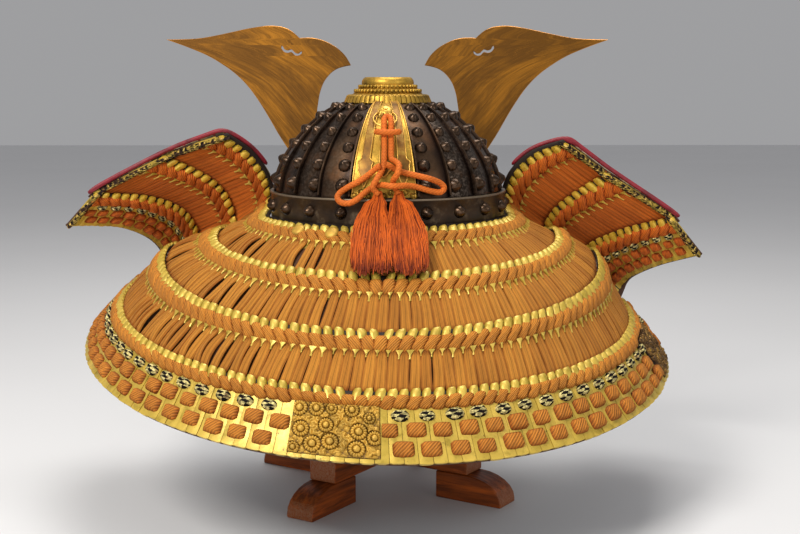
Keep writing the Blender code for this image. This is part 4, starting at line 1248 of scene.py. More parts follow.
def lay_straps(name, row, centre, seed, lift, replaced, below=None):
    """Flat lacing straps from under the braid to behind the scales of the lame below, looser toward -X."""
    count = len(centre)
    gap, centre, draws = np.gradient(centre)[:, None], centre[:, None], Draws(seed, count)
    unit = pad(6, 7)
    x, t = unit.x, 0.5 - unit.y
    side = row.side(centre) / (row.last / 2)
    wing = row.wing(centre)
    loose = (0.22 + 0.78 * ease(-side, 0.02, 0.30)) * (1 - 0.8 * wing)
    drift = np.convolve(draws.source.standard_normal(count + 4), np.ones(3) / 3, "same")[2:-2][:, None]
    drift = drift + 0.35 * draws.bell()
    hang = np.sin(math.pi * np.clip(t, 0, 1)) ** 0.9
    full = 0.46 - 0.20 * ease(-side, 0.02, 0.30)
    pinched = 0.56 + full * ease(t, 0.02, 0.20) - 0.08 * ease(t, 0.86, 1.0)
    pinched = pinched + (1.02 - pinched) * 0.9 * wing
    slack = 0.20 * draws.even() ** 1.3 * loose * hang
    lean = (-0.60 * side + 0.16 * draws.bell() * (0.4 + loose)) * (1 - wing) * (0.5 - t)
    u = centre + gap * (x * (pinched - slack) + lean + 0.42 * loose * drift * hang)
    v = STRAP_TOP + (STRAP_FOOT - STRAP_TOP) * t
    bow = lift * (0.25 + 0.75 * draws.even()) * (0.15 + 0.95 * loose)
    cross = 0.0006 * np.sqrt(np.clip(1 - (2 * x) ** 2, 0, 1)) - 0.00025 * (np.abs(x) < 0.05)
    height = 0.0016 + cross * (1 - 0.5 * wing) + bow * hang**1.2
    twist = 0.0018 * loose * draws.bell() * x * hang
    height = np.where(unit.low, height - 0.0011, height) + twist
    # shade: painted shade where a strap goes under the braid and behind the scales below, and at its sides
    # between straps, with a random tone
    shade = 0.80 * ease(t, 0.86, 1.0) + 0.6 * ease(-t, -0.10, 0.0) + 0.34 * draws.even()
    shade = np.clip(shade + 0.40 * np.abs(2 * x) ** 8 * (1 - 0.6 * wing), 0, 1)
    places = row.place(u, v, height)
    if below is not None:  # the last straps reach on to the edge of the lame below
        ends = places[:, np.abs(unit.y + 0.5) < 0.01].mean(axis=1)
        edge = below.points(np.linspace(0, below.last, 900), 0.05)
        reach = edge[np.linalg.norm(ends[:, None] - edge[None, :], axis=2).argmin(axis=1)] - ends
        far = np.linalg.norm(reach, axis=1)
        reach = reach * (np.clip(far - 0.0015, 0, 0.020) / np.maximum(far, 1e-6))[:, None]
        places = places + reach[:, None, :] * ease(t, 0.1, 1.0)[..., None]
    finish = silk(3.0, 0.0, 0.26, (1.0, 0.94, 0.92), True, name="strap_silk")
    repeated(name, unit, places, finish, "orange_silk", replaced, creases=70, shade=shade, wing=row.wing(u))


def lay_points(name, row, centre, seed):
    """Small waisted gilt points that show between the straps where they leave the braid."""
    middle, gap = (centre[1:] + centre[:-1])[:, None] / 2, np.diff(centre)[:, None]
    draws = Draws(seed, len(gap))
    unit = pad(2, 4)
    t = 0.5 - unit.y
    size = 0.60 + 0.45 * draws.even()
    width = 0.70 * np.abs(1 - 1.5 * t) ** 1.1 * (1 - 0.55 * t) + 0.10
    u = middle + gap * (unit.x * width) * size
    v = POINTS_TOP + (POINTS_FOOT - POINTS_TOP) * t * size
    height = np.where(unit.low, 0.0004, 0.0032 - 0.0010 * t + 0.0004 * (1 - np.abs(2 * unit.x)))
    repeated(name, unit, row.place(u, v, height), gilt_lacquer(), "gilt_lacquer", shade=0.5 * draws.even())


def covered(row):
    """The stretches of columns that the flower plates cover on the bottom lame."""
    fine = np.linspace(0, row.last, 800)
    middle = row.points(fine, 0.55)
    spans = []
    for node in FLOWER_NODES:
        near = [int(np.linalg.norm(middle - spot, axis=1).argmin()) for spot in node_points(node)]
        spans.append((fine[min(near)], fine[max(near)]))
    return spans


def lay_blocks(name, row, spacing, shares, offset, seed, covers=(), knots=False):
    """A row of rounded blocks of lacing, or of dark and pale knots."""
    centre, per_metre, pitch = spacing
    if offset:
        centre, per_metre = (centre[1:] + centre[:-1]) / 2, (per_metre[1:] + per_metre[:-1]) / 2
    room = 0.05 * pitch * per_metre
    keep = np.ones(len(centre), bool)
    for first, last in covers:
        keep &= (centre < first - room) | (centre > last + room)
    centre, per_metre, draws = centre[keep][:, None], per_metre[keep][:, None], Draws(seed, keep.sum())
    unit = pad(6, 6)
    x, y = unit.x * 2, unit.y * 2
    if knots:
        wide, crown, finish = 0.72, 0.0034, knot_braid()
        round_off, flat_end = np.sqrt(np.clip(1 - 0.62 * y**2, 0, 1)), 1 - 0.20 * x**4
    else:
        wide, crown = 0.77, 0.0036
        finish = silk(2.3, math.radians(38), 0.42, (0.80, 0.67, 0.60), name="block_silk")
        round_off, flat_end = 1 - 0.10 * y**6, 1 - 0.08 * x**6
    across = unit.x * wide * pitch * round_off
    size = 1 + 0.04 * draws.bell()
    jitter = 0.0004 * draws.bell()
    u = centre + (across * size + jitter) * per_metre
    for first, last in covers:
        u = np.where(centre < first, np.minimum(u, first - 0.02), u)
        u = np.where(centre > last, np.maximum(u, last + 0.02), u)
    middle, reach = sum(shares) / 2, (shares[1] - shares[0]) / 2
    v = middle - reach * (y * flat_end) * size + 0.005 * draws.bell()
    plump = (np.clip(1 - x**6, 0, 1) * np.clip(1 - y**6, 0, 1)) ** 0.5
    height = np.where(unit.low, 0.0, 0.0010 + crown * plump) * size
    # shade: painted shade toward each block's edges, with a random tone
    shade = np.clip(0.75 * np.maximum(np.abs(x), np.abs(y)) ** 5 + 0.15 * draws.even(), 0, 1)
    places = row.place(u, v, height)
    repeated(name, unit, places, finish, "orange_silk", creases=70, shade=shade, wing=row.wing(u))


def lay_foot_plates(name, row, spacing, seed):
    """Upright gilt plates side by side behind the blocks, down to the lame's foot. Two go to a block."""
    blocks, rates, pitch = spacing
    quarter = 0.25 * pitch * rates
    centre = np.sort(np.concatenate([blocks - quarter, blocks + quarter]))[:, None]
    per_metre, draws = np.repeat(rates, 2)[:, None], Draws(seed, len(centre))
    unit = pad(4, 5)
    t = 0.5 - unit.y
    u = centre + per_metre * (unit.x * pitch / 2 * 0.965)
    scallop = 0.008 * (2 * unit.x) ** 4 * (t > 0.9)
    v = PLATES_TOP + (1 - PLATES_TOP) * t - scallop + 0.004 * draws.bell() * (t > 0.9)
    swell = 0.0009 + 0.0003 * np.cos(unit.x * math.pi) + 0.0009 * ease(t, 0.93, 0.98)
    height = np.where(unit.low, -0.0012, swell) + 0.0002 * draws.bell()
    repeated(name, unit, row.place(u, v, height), gilt_lacquer(), "gilt_lacquer", shade=0.45 * draws.even())


class KABUTO_OT_lames(bpy.types.Operator):
    """Make the four lames with their gilt scales"""

    bl_idname = "kabuto.lames"
    bl_label = "Lames and Scales"

    def execute(self, context):
        pitch = context.scene.kabuto_sizes.scale_pitch
        for number, row in enumerate(ROWS, 1):
            self.lame(number, row)
            lay_scales(f"scales_{number}", row, pitch, number)
        row = ROWS[0]
        fine = np.linspace(MIDDLE - 8, MIDDLE + 8, 400)
        u = np.interp(STUDS, row.points(fine, 0.13)[:, 0], fine)
        stud = Unit(spun([(1.0, -0.5), (1.0, 0.02), (0.92, 0.16), (0.60, 0.30), (0.0, 0.36)], 20))
        places = standing(row.place(u, 0.20, 0.0040), row.out(u, 0.20), stud, 0.0059)
        repeated("lame_studs", stud, places, old_gilt(), "gilt_lacquer", creases=70)
        return {"FINISHED"}

    def lame(self, number, row):
        """The curved sheet behind a lame's scales, gilt outside and lacquered black inside."""
        columns, top = (160 if number <= LAMES else 110), (-0.06 if number == 1 else 0.045)
        # the recess mark, which is painted shade, is 0 all over a lame
        sunk, unshaded = (lambda u, v: np.full(len(u), -0.0002)), (lambda u, v: np.zeros(len(u)))
        bm = sheet(row, columns, 12, sunk, unshaded, 0.0, row.last, top, row.shares[-1])
        finishes, node = [lame_face(), black_lacquer()], f"neck_lame_{number}"
        walled(from_bmesh(f"lame_{number}", bm, finishes, [node], outwards=False), LAME_WALL)


class KABUTO_OT_lacing(bpy.types.Operator):
    """Lace the lames: braid, straps and the gilt points between them"""

    bl_idname = "kabuto.lacing"
    bl_label = "Lacing"

    def execute(self, context):
        settings = context.scene.kabuto_sizes
        pitch = settings.scale_pitch
        for number, row in enumerate(ROWS, 1):
            spread = (*RIM_BRAID, covered(row)) if row is RIM_ROW else ()
            lay_braid(f"braid_{number}", row, pitch * BRAID_PITCH, 20 + number, *spread)
        for number, row in enumerate(ROWS[:LAMES], 1):
            first, last, below = 0, row.last, None
            if number == LAMES:  # the wings of the lowest of the three carry no lame
                first, last, below = MIDDLE - FOLD, MIDDLE + FOLD, RIM_ROW
            centre, _, _ = row.spaced(pitch, 1.0, first, last)
            replaced = [f"lacing_{number}"]
            lay_straps(f"straps_{number}", row, centre, 40 + number, settings.strap_lift, replaced, below)
            lay_points(f"gilt_points_{number}", row, centre, 60 + number)
        return {"FINISHED"}


class KABUTO_OT_rim(bpy.types.Operator):
    """Dress the rim: knots, blocks of lacing and the plates behind them, also on the wings' lower edges"""

    bl_idname = "kabuto.rim"
    bl_label = "Rim"

    def execute(self, context):
        pitch = context.scene.kabuto_sizes.block_pitch
        wings, inset, small = ROWS[LAMES - 1], 0.15, pitch * 0.58
        sections = [("rim", RIM_ROW, 0, RIM_ROW.last, pitch, KNOT_ROW, BLOCK_ROWS, covered(RIM_ROW))]
        for side, first, last in (("left", inset, MIDDLE - FOLD), ("right", MIDDLE + FOLD, wings.last - inset)):
            sections.append((f"wing_{side}", wings, first, last, small, WING_KNOT_ROW, WING_BLOCK_ROWS, ()))
        for seed, (name, row, first, last, step, knots, blocks, covers) in enumerate(sections, 80):
            spacing = row.spaced(step, 0.75, first, last)
            lay_foot_plates(f"{name}_plates", row, spacing, seed)
            lay_blocks(f"{name}_knots", row, spacing, knots, True, seed + 10, covers, knots=True)
            lay_blocks(f"{name}_blocks_upper", row, spacing, blocks[0], False, seed + 20, covers)
            lay_blocks(f"{name}_blocks_lower", row, spacing, blocks[1], True, seed + 30, covers)
        return {"FINISHED"}


# ---- wings ----

STITCH = 0.0052  # from one stitch of an end braid to the next


class KABUTO_OT_wings(bpy.types.Operator):
    """Finish the wings: leather fronts, red piping and the dark and pale braid along their ends"""

    bl_idname = "kabuto.wings"
    bl_label = "Wings"

    def execute(self, context):
        for side, end, inward in (("left", 0.0, 1), ("right", float(ROWS[0].last), -1)):
            rounded(f"wing_leather_{side}", f"leather_{side}", [printed_leather()])
            softened(f"wing_piping_{side}", f"piping_{side}", red_leather(), 1)
            for number, row in enumerate(ROWS[:LAMES], 1):
                self.end_braid(f"end_braid_{side}_{number}", row, end, inward, number)
        return {"FINISHED"}

    def end_braid(self, name, row, end, inward, number):
        """Slanting dark and pale stitches side by side down the wing's end."""
        count = max(4, round(float(row.tall(end)) / STITCH))
        draws = Draws(number + (10 if inward > 0 else 30), count)
        step = 1.0 / count
        unit = pad(4, 3)
        t = unit.x + 0.5
        wide = 0.0043 if number < LAMES else 0.0039
        rate = 0.5 / np.linalg.norm(row.points(end + inward * 0.5, 0.5) - row.points(end, 0.5))
        u = end + inward * (t - 0.06) * wide * rate
        slope = (t - 0.5) * step * 1.3
        v = step * (np.arange(count)[:, None] + 0.5) - unit.y * step * 1.02 - slope
        plump = np.sqrt(np.clip(1 - (2 * unit.y * 0.97) ** 2, 0, 1)) * (1 - 0.6 * np.abs(2 * unit.x) ** 4)
        height = np.where(unit.low, 0.0, 0.0040 + 0.0018 * plump) + 0.0002 * draws.bell()
        if inward < 0:  # across runs the other way, so the faces are turned round
            unit.loops = np.concatenate([face[::-1] for face in np.split(unit.loops, unit.starts[1:])])
        finish = knot_braid(2.2, 2.4, True, name="rubbed_braid")
        repeated(name, unit, row.place(u, v, height), finish, "orange_silk", creases=70)


# ---- bowl, band, crown ----

PLATE_SHADES = {1: 0.05, 2: 0.95, 3: 0.85, 4: 0.55, 5: 0.3, 16: 0.25, 17: 0.35, 18: 0.4, 19: 0.5, 20: 0.2}
PLATE_COLUMNS = 8
RIDGE_TOP, RIDGE_FOOT = 0.3462, 0.2708  # heights between which the ridges stand
RIDGE_HALF, RIDGE_RISE = 0.0009, 0.0032  # half a ridge's width and how far it stands off
BOWL_WALL = 0.0019
RIVET_PROFILE = [(1.0, -0.10), (0.97, 0.10), (0.82, 0.40), (0.56, 0.68), (0.28, 0.94), (0.0, 1.04)]
RIVET_SWELL = 1.42
BAND_RIVETS = (-72, -54, -37, -20, 20, 37, 54, 72, 95, 120, 150, 180, -95, -120, -150)


class KABUTO_OT_bowl(bpy.types.Operator):
    """Raise the bowl from ridged iron plates, with its band and rivets"""

    bl_idname = "kabuto.bowl"
    bl_label = "Bowl"

    def execute(self, context):
        self.plates()
        rivet = Unit(spun(RIVET_PROFILE, 12))
        azimuth, run, radius = DOME.rivets().T
        places = standing(DOME.point(azimuth, run), DOME.outward(azimuth, run), rivet, radius * RIVET_SWELL)
        repeated("bowl_rivets", rivet, places, rivet_iron(), "russet_iron", creases=50)
        self.band(rivet)
        return {"FINISHED"}

    def plates(self):
        """One grid over the dome. Each plate takes eight columns, and the first two carry its ridge."""
        across, down, width = PLATES * PLATE_COLUMNS, 48, 360 / PLATES
        bm = grid(across, down)
        for name in ("recess", "shade"):
            bm.verts.layers.float.new(name)
        deep, tone = (bm.verts.layers.float[name] for name in ("recess", "shade"))
        start, stop = DOME.down_to(RIDGE_TOP), DOME.down_to(RIDGE_FOOT)
        for vert in bm.verts:
            plate, place = divmod(round((vert.co.x + 0.5) * across) % across, PLATE_COLUMNS)
            run = DOME.run[-1] * (0.5 - vert.co.y)
            foot = math.degrees(RIDGE_HALF / DOME.wide(run))
            lift = 0.0
            if place < 4:
                azimuth = (-foot * 0.8, foot * 0.8, foot, foot * 2.2)[place]
                if place < 2 and plate > 0 and run <= stop:
                    lift = float(np.interp(run, [start - 0.003, start, stop], [0.0, 0.0018, RIDGE_RISE]))
            elif place < PLATE_COLUMNS - 1:
                azimuth = foot * 2.2 + (width - 3.4 * foot) * (place - 3) / 5
                lift = 0.0005 * math.sin(math.pi * (place - 3) / 5)
            else:
                azimuth = width - foot
            vert.co = DOME.point(BACK_RIDGE + width * plate + azimuth, run, lift)
            # recess: painted shade along both feet of each ridge
            vert[deep] = {2: 1.0, 3: 0.35, PLATE_COLUMNS - 1: 1.0}.get(place, 0.0)
            vert[tone] = PLATE_SHADES.get(plate, 0.3) if place > 1 else 0.15
        joined(bm)
        faced(bm, lambda bm: sum(face.normal.z for face in bm.faces) < 0)
        finishes = [russet_iron(), black_lacquer()]
        walled(from_bmesh("bowl_plates", bm, finishes, ["bowl"], 45, outwards=False), BOWL_WALL)

    def band(self, rivet):
        """The band round the bowl's foot, with its turned top edge and its own rivets."""
        slot = "black_lacquered_iron"
        outer = max(BAND_HIGH.x - AXIS[0], 0.1) - 0.0010
        low, high = BAND_LOW.z, BAND_HIGH.z
        turned = [(0.0, 0.0024), (0.0008, 0.0018), (0.0010, 0.0008), (0.0006, 0.0), (-0.0024, 0.0)]
        profile = [(outer - 0.0026, low), (outer, low), *((outer + out, high - down) for out, down in turned)]
        bm = spun([*profile, profile[0]], 160, AXIS)
        piece = from_bmesh("bowl_band_ring", bm, [band_iron()], ["bowl_band"], creases=60)
        spots = points_of(piece.data)
        # painted highlight on the outer points of the top edge
        rubbed = [float(spot[2] > high - 0.0012 and away(spot) > outer + 0.0005) for spot in spots]
        marked(piece.data, "shade", rubbed)
        angle = np.radians(np.array(BAND_RIVETS) + BACK_RIDGE)
        encircle("band_rivets", rivet, angle, outer, (low + high) / 2 + 0.0012, 0.0056, rivet_iron(), slot, 50)


# The crown's tiers as (radius, share of its height)
CROWN_CORE = [(0.0172, 0.06), (0.0370, 0.0), (0.0352, 0.14), (0.0325, 0.27), (0.0294, 0.345), (0.0276, 0.36)]
CROWN_CORE += [(0.0274, 0.51), (0.0244, 0.54), (0.0238, 0.69), (0.0215, 0.72), (0.0190, 0.70), (0.0172, 0.66)]
CROWN_TOP = [(0.0174, 0.74), (0.0190, 0.70), (0.0226, 0.70), (0.0230, 0.75), (0.0225, 0.86), (0.0212, 0.95)]
CROWN_TOP += [(0.0198, 0.995), (0.0184, 1.0), (0.0175, 0.93)]
CROWN_STEP_UPPER = [(0.0240, 0.525), (0.0262, 0.525), (0.0264, 0.555), (0.0240, 0.565)]
CROWN_STEP_LOWER = [(0.0272, 0.335), (0.0300, 0.335), (0.0302, 0.365), (0.0272, 0.380)]
BEAD_ROWS = ((0.0247, 0.625, 0.00150, 1.0), (0.0284, 0.445, 0.00160, 1.16))  # with their size and how many more
PETALS = 50


class KABUTO_OT_crown(bpy.types.Operator):
    """Stack the crown ornament: petals, beaded rings and the smooth top ring"""

    bl_idname = "kabuto.crown"
    bl_label = "Crown Ornament"

    def execute(self, context):
        low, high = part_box("crown_ornament")
        base, tall, gold = low.z, high.z - low.z, gilt_copper()

        def ring(name, profile, replaced=()):
            spots = [(radius, base + share * tall) for radius, share in profile]
            from_bmesh(name, spun(spots + spots[:1], 120, AXIS), [gold], replaced, creases=50)

        ring("crown_core", CROWN_CORE, ["crown_ornament"])
        ring("crown_top_ring", CROWN_TOP)
        ring("crown_step_upper", CROWN_STEP_UPPER)
        ring("crown_step_lower", CROWN_STEP_LOWER)
        bead = Unit(spun([(0, -1), (0.8, -0.8), (1, 0), (0.8, 0.8), (0, 1)], 8))
        for number, (radius, share, size, more) in enumerate(BEAD_ROWS, 1):
            count = round(context.scene.kabuto_sizes.crown_beads * more)
            angle = math.tau * np.arange(count) / count
            name, height = f"crown_beads_{number}", base + share * tall
            encircle(name, bead, angle, radius, height, size, gold, "gilt_copper", 80)
        self.petals(gold, base, tall, (high.x - low.x) / 2)
        return {"FINISHED"}

    def petals(self, gold, base, tall, wide):
        """Short square petals round the foot, each turned down over the bowl."""
        unit = pad(3, 5)
        out = 0.5 - unit.y
        ways = [0, 0.4, 0.6, 0.8, 1.0]
        radius = np.interp(out, ways, [0.0318, 0.0344, 0.0361, wide - 0.0012, wide + 0.0004])
        radius = radius - np.where(unit.low, 0.0010, 0)
        drop = np.interp(out, ways, [0.28, 0.27, 0.23, 0.13, -0.04]) * tall + 0.0005 * (1 - (2 * unit.x) ** 2)
        drop = base + drop - np.where(unit.low, 0.0012, 0)
        width = np.radians(360 / PETALS * 0.84) * radius
        angle = np.radians(360 * np.arange(PETALS) / PETALS)[:, None] + (unit.x * width / radius)[None, :]
        places = np.stack([radius * np.sin(angle), -radius * np.cos(angle), drop + 0 * angle], axis=2) + AXIS
        # painted shade on the turned-down borders and toward the crown's core
        painted_shade = np.where(unit.low, 1.0, np.clip(0.5 - 1.2 * out, 0, 1))[None, :]
        repeated("crown_petals", unit, places, gold, "gilt_copper", recess=painted_shade)


# ---- gilt back plate and ring ----

PLATE_INSET, CLOUD_INSET = 0.4, 1.4  # degrees in from the back plate's edges to its edging and its clouds
CLOUDS = 9
CLOUD_PROFILE = [(1.0, -0.2), (1.0, 0.25), (0.75, 0.42), (0.5, 0.22), (0.25, 0.30), (0, 0.42)]
BARB_TOP, BARB_FOOT = 0.76, 0.79  # down an arrow strip, where its shaft widens into the barbs
ROSETTE_PROFILE = [(0.0019, 0.0), (0.0019, 0.0038), (0.0058, 0.0038), (0.0062, 0.0043), (0.0056, 0.0050)]
ROSETTE_PROFILE += [(0.0024, 0.0054), (0.0022, 0.0062), (0.0, 0.0068)]
ROSETTE_PETALS = 8


def azimuth_range(node):
    """Where a piece begins and ends round the bowl."""
    found = [azimuth_of(spot) for spot in node_points(node)]
    return min(found), max(found)


def on_bowl(columns, rows, shape, name, finish, thickness, recess, node):
    """A plate on the bowl. shape turns two shares, across and down, into azimuth, run and lift."""
    bm = grid(columns, rows)
    low = set(turned_rim(bm))
    deep = bm.verts.layers.float.new("recess")
    for vert in bm.verts:
        azimuth, run, lift = shape(vert.co.x + 0.5, 0.5 - vert.co.y)
        vert.co = DOME.point(azimuth, run, lift - (thickness if vert in low else 0.0))
        # recess: painted shade, full on the turned rim and the given share on the face
        vert[deep] = 1.0 if vert in low else recess

    def inward(face):
        return (Vector(AXIS) - face.calc_center_median()).xy.dot(face.normal.xy)

    faced(bm, lambda bm: sum(map(inward, bm.faces)) > 0)
    from_bmesh(name, bm, [finish], [node], creases=50, outwards=False)


class KABUTO_OT_back_plate(bpy.types.Operator):
    """Lay the gilt plate on the back of the bowl, with its arrow strips, rosette and ring"""

    bl_idname = "kabuto.back_plate"
    bl_label = "Back Plate"

    def execute(self, context):
        gold, pale = gilt_copper(), bright_gilt()
        left, right = azimuth_range("back_plate")
        top, foot = DOME.span("back_plate")

        def plate(x, y):
            return left + (right - left) * x, top + (foot - top) * y, 0.0017

        on_bowl(18, 30, plate, "back_plate_gilt", gold, 0.0012, 0.0, "back_plate")
        for side in ("left", "middle", "right"):
            self.strip(side, pale)
        runs = np.linspace(top, foot, 60)
        for side, azimuth in (("left", left + PLATE_INSET), ("right", right - PLATE_INSET)):
            path = DOME.point(np.full(len(runs), azimuth), runs, 0.0020)
            wire(f"plate_edging_{side}", path, 0.0007, 8, pale)
        self.clouds(gold, left, right, foot)
        self.rosette(pale)
        softened("cord_ring", "ring_wire", pale, 2)
        return {"FINISHED"}

    def strip(self, side, pale):
        """An arrow-tipped strip: a raised wire round a flat field."""
        node = f"arrow_strip_{side}"
        start, end = azimuth_range(node)
        top, foot = DOME.span(node)
        middle = (start + end) / 2
        half = math.radians((end - start) / 2) * DOME.wide(foot) * 0.97

        def width(y):
            """Half width down the strip: a narrow shaft, then barbs and a lobed point."""
            shaft = half * (0.40 + 0.14 * y)
            barb = half * (1.0 - 0.18 * abs(math.sin((y - 0.78) * 38)))
            if y < BARB_TOP:
                return shaft
            if y < BARB_FOOT:
                return shaft + (barb - shaft) * (y - BARB_TOP) / 0.03
            return barb * max(0.04, 1 - ((y - BARB_FOOT) / 0.21) ** 1.5)

        def spot(side_share, y, lift):
            run = top + (foot - top) * y
            return middle + math.degrees(side_share * width(y) / DOME.wide(run)), run, lift

        def shape(x, y):
            return spot(2 * x - 1, y, 0.0027)

        on_bowl(6, 64, shape, f"strip_{side}", brown_copper(), 0.0014, 0.30, node)
        downs = np.linspace(0, 1, 90)
        ends = [spot(-1, y, 0.0029) for y in downs] + [spot(1, y, 0.0029) for y in np.linspace(1, 0, 90)]
        path = np.array([DOME.point(*end) for end in ends])
        wire(f"strip_{side}_outline", path, 0.0006, 6, pale)

    def clouds(self, gold, left, right, foot):
        """Scalloped openwork along the plate's foot."""
        unit = Unit(spun(CLOUD_PROFILE, 14))
        azimuth = np.linspace(left + CLOUD_INSET, right - CLOUD_INSET, CLOUDS)
        run = foot - 0.0030 + 0.0014 * np.cos(np.arange(CLOUDS) * math.pi)
        places = standing(DOME.point(azimuth, run, 0.0016), DOME.outward(azimuth, run), unit, 0.0030)
        # painted shade on the lower part of each cloud, next to the bowl
        painted_shade = np.where(unit.co[:, 2] < 0.24, 0.7, 0.0)[None, :]
        repeated("plate_clouds", unit, places, gold, "gilt_copper", recess=painted_shade)

    def rosette(self, gold):
        """The petalled head on its stem that carries the ring."""
        middle = sum(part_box("ring_rosette"), Vector()) / 2
        azimuth, run = azimuth_of(middle), DOME.down_to(middle.z - 0.0030)
        spot, out = DOME.point(azimuth, run, 0.0018), DOME.outward(azimuth, run)
        bm = spun(ROSETTE_PROFILE, 48)
        for vert in bm.verts:
            if vert.co.xy.length > 0.0040:
                turn = math.atan2(vert.co.y, vert.co.x)
                vert.co.xy = vert.co.xy * (1 + 0.11 * math.cos(ROSETTE_PETALS * turn))
        facing = Vector((0, 0, 1)).rotation_difference(Vector(out)).to_matrix().to_4x4()
        bmesh.ops.transform(bm, matrix=Matrix.Translation(Vector(spot)) @ facing, verts=bm.verts)
        from_bmesh("rosette", bm, [gold], ["ring_rosette"], creases=60)


# ---- cast flower plates ----

TRIES = 1500  # at finding room for one more flower, bloom or leaf
FIRST_BLOOM, FIRST_LEAF = 60, 150  # the tries from which smaller kinds are set


def flower_relief(seed, wide, tall):
    """The height of a bed of chrysanthemums, buds and leaves at points across a plate, from 0 to 1."""
    rng = np.random.default_rng(seed)
    spread = []
    for number in range(TRIES):
        kind = "flower" if number < FIRST_BLOOM else "bloom" if number < FIRST_LEAF else "leaf"
        size = {"flower": 0.0060, "bloom": 0.0044, "leaf": 0.0042}[kind] * rng.uniform(0.92, 1.08)
        x, y = (rng.uniform(0.75 * size, side - 0.75 * size) for side in (wide, tall))
        apart = 0.72 if kind == "leaf" else 1.0
        if all(math.hypot(x - other[0], y - other[1]) > (size + other[2]) * apart for other in spread):
            spread.append((x, y, size, kind, rng.uniform(0, 6.3)))

    def height(x, y):
        stems = np.exp(-((np.sin(x * 300 + 1.6 * np.sin(y * 240 + seed)) * 5) ** 2))
        leaves = np.abs(np.sin(x * 610 + y * 330 + seed) * np.sin(y * 560 - x * 290))
        found = 0.10 + 0.42 * np.maximum(stems, leaves**0.7)
        for cx, cy, size, kind, turn in reversed(spread):
            dx, dy = x - cx, y - cy
            radius, angle = np.hypot(dx, dy) / size, np.arctan2(dy, dx) + turn
            if kind == "leaf":
                lobes = 0.50 + 0.50 * np.abs(np.cos(angle * 1.5))
                vein = 1 - 0.4 * np.exp(-((np.sin(angle * 1.5) * radius * 6) ** 2))
                body = 0.70 * vein * np.clip((lobes - radius) * 7, 0, 1) ** 0.6
            else:
                petals = np.abs(np.cos(angle * (8 if kind == "flower" else 6))) ** 0.7
                edge = 0.86 + 0.14 * petals
                button = 0.40
                cup = 1.0 - 0.22 * (radius / button) ** 2
                ring = (0.44 + 0.34 * petals) * (1.1 - 0.3 * radius) * np.clip((radius - button) * 6, 0.15, 1)
                body = np.where(radius < button, cup, ring) * np.clip((edge - radius) * 12, 0, 1) ** 0.5
                found = np.where(radius < 1.06, np.minimum(found, 0.10), found)
            found = np.maximum(found, body)
        return found

    return height


class KABUTO_OT_flower_plates(bpy.types.Operator):
    """Cast the two flower plates on the rim"""

    bl_idname = "kabuto.flower_plates"
    bl_label = "Flower Plates"

    def execute(self, context):
        spans = covered(RIM_ROW)
        for node, span, finish, seed in zip(FLOWER_NODES, spans, (old_gilt(), dark_bronze()), (5, 11)):
            self.plate(node, *span, finish, seed)
        return {"FINISHED"}

    def plate(self, node, first, last, finish, seed):
        middle, down = (first + last) / 2, FLOWERS_FOOT - FLOWERS_TOP
        wide, tall = RIM_ROW.wide(first, last, 50), float(RIM_ROW.tall(middle)) * down
        relief = flower_relief(seed, wide, tall)

        def rise(u, v):
            x, y = (u - first) / (last - first) * wide, (v - FLOWERS_TOP) / down * tall
            edge = np.minimum(np.minimum(x, wide - x), np.minimum(y, tall - y))
            return relief(x, y) * ease(edge, -0.0002, 0.0008)

        def height(u, v):
            return 0.0018 + 0.0040 * rise(u, v)

        # painted shade: the low places of the relief are darkened
        def recess(u, v):
            return 1 - ease(rise(u, v), 0.06, 0.30)

        bm = sheet(RIM_ROW, 150, 104, height, recess, first, last, FLOWERS_TOP, FLOWERS_FOOT)
        inward = Vector(RIM_ROW.out(middle, 0.5) * -0.0030)
        bmesh.ops.translate(bm, verts=turned_rim(bm), vec=inward)
        name = node.replace("flower_plate", "cast_flowers")
        from_bmesh(name, bm, [finish], [node], creases=60, outwards=False)


# ---- horns, visor ----

HORN_CHAMFER, HORN_THICKNESS = 0.0004, 0.0018


def smooth_loop(points, corner=42.0, pieces=6):
    """A closed outline with its curves made smooth and its corners kept."""
    points = np.array(points)
    after, before = np.roll(points, -1, axis=0), np.roll(points, 1, axis=0)
    ahead, behind = unit_vectors(after - points), unit_vectors(points - before)
    sharp = (ahead * behind).sum(1) < math.cos(math.radians(corner))
    through = unit_vectors(after - before)
    leave = np.where(sharp[:, None], ahead, through)
    arrive = np.roll(np.where(sharp[:, None], behind, through), -1, axis=0)
    chord = np.linalg.norm(after - points, axis=1)[:, None]
    found = []
    for part in np.linspace(0, 1, pieces, endpoint=False):
        bend = (2 * part**3 - 3 * part**2 + 1) * points + (part**3 - 2 * part**2 + part) * leave * chord
        found.append(bend + (3 * part**2 - 2 * part**3) * after + (part**3 - part**2) * arrive * chord)
    return np.stack(found, axis=1).reshape(-1, 2)


def face_outlines(node):
    """The closed outlines of a flat plate's back face, with the plate's middle and its directions."""
    bm = merged(node)
    facing = max(bm.faces, key=lambda face: face.calc_area()).normal.copy()
    if facing.y > 0:
        facing = -facing
    across = Vector((1, 0, 0))
    climb = facing.cross(across) if facing.cross(across).z > 0 else across.cross(facing)
    flat = {face for face in bm.faces if face.normal.dot(facing) > 0.9}
    beside = {}
    for edge in bm.edges:
        if sum(face in flat for face in edge.link_faces) == 1:
            for one, other in (edge.verts, edge.verts[:][::-1]):
                beside.setdefault(one, []).append(other)
    middle = sum(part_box(node), Vector()) / 2
    outlines, seen = [], set()
    for start in beside:
        ring = [] if start in seen else [start]
        while ring:
            seen.add(ring[-1])
            fresh = [vert for vert in beside[ring[-1]] if vert not in seen]
            if not fresh:
                spots = [vert.co - middle for vert in ring]
                outlines.append([(spot.dot(across), spot.dot(climb)) for spot in spots])
                break
            ring.append(fresh[0])
    bm.free()
    return outlines, middle, across, climb, facing


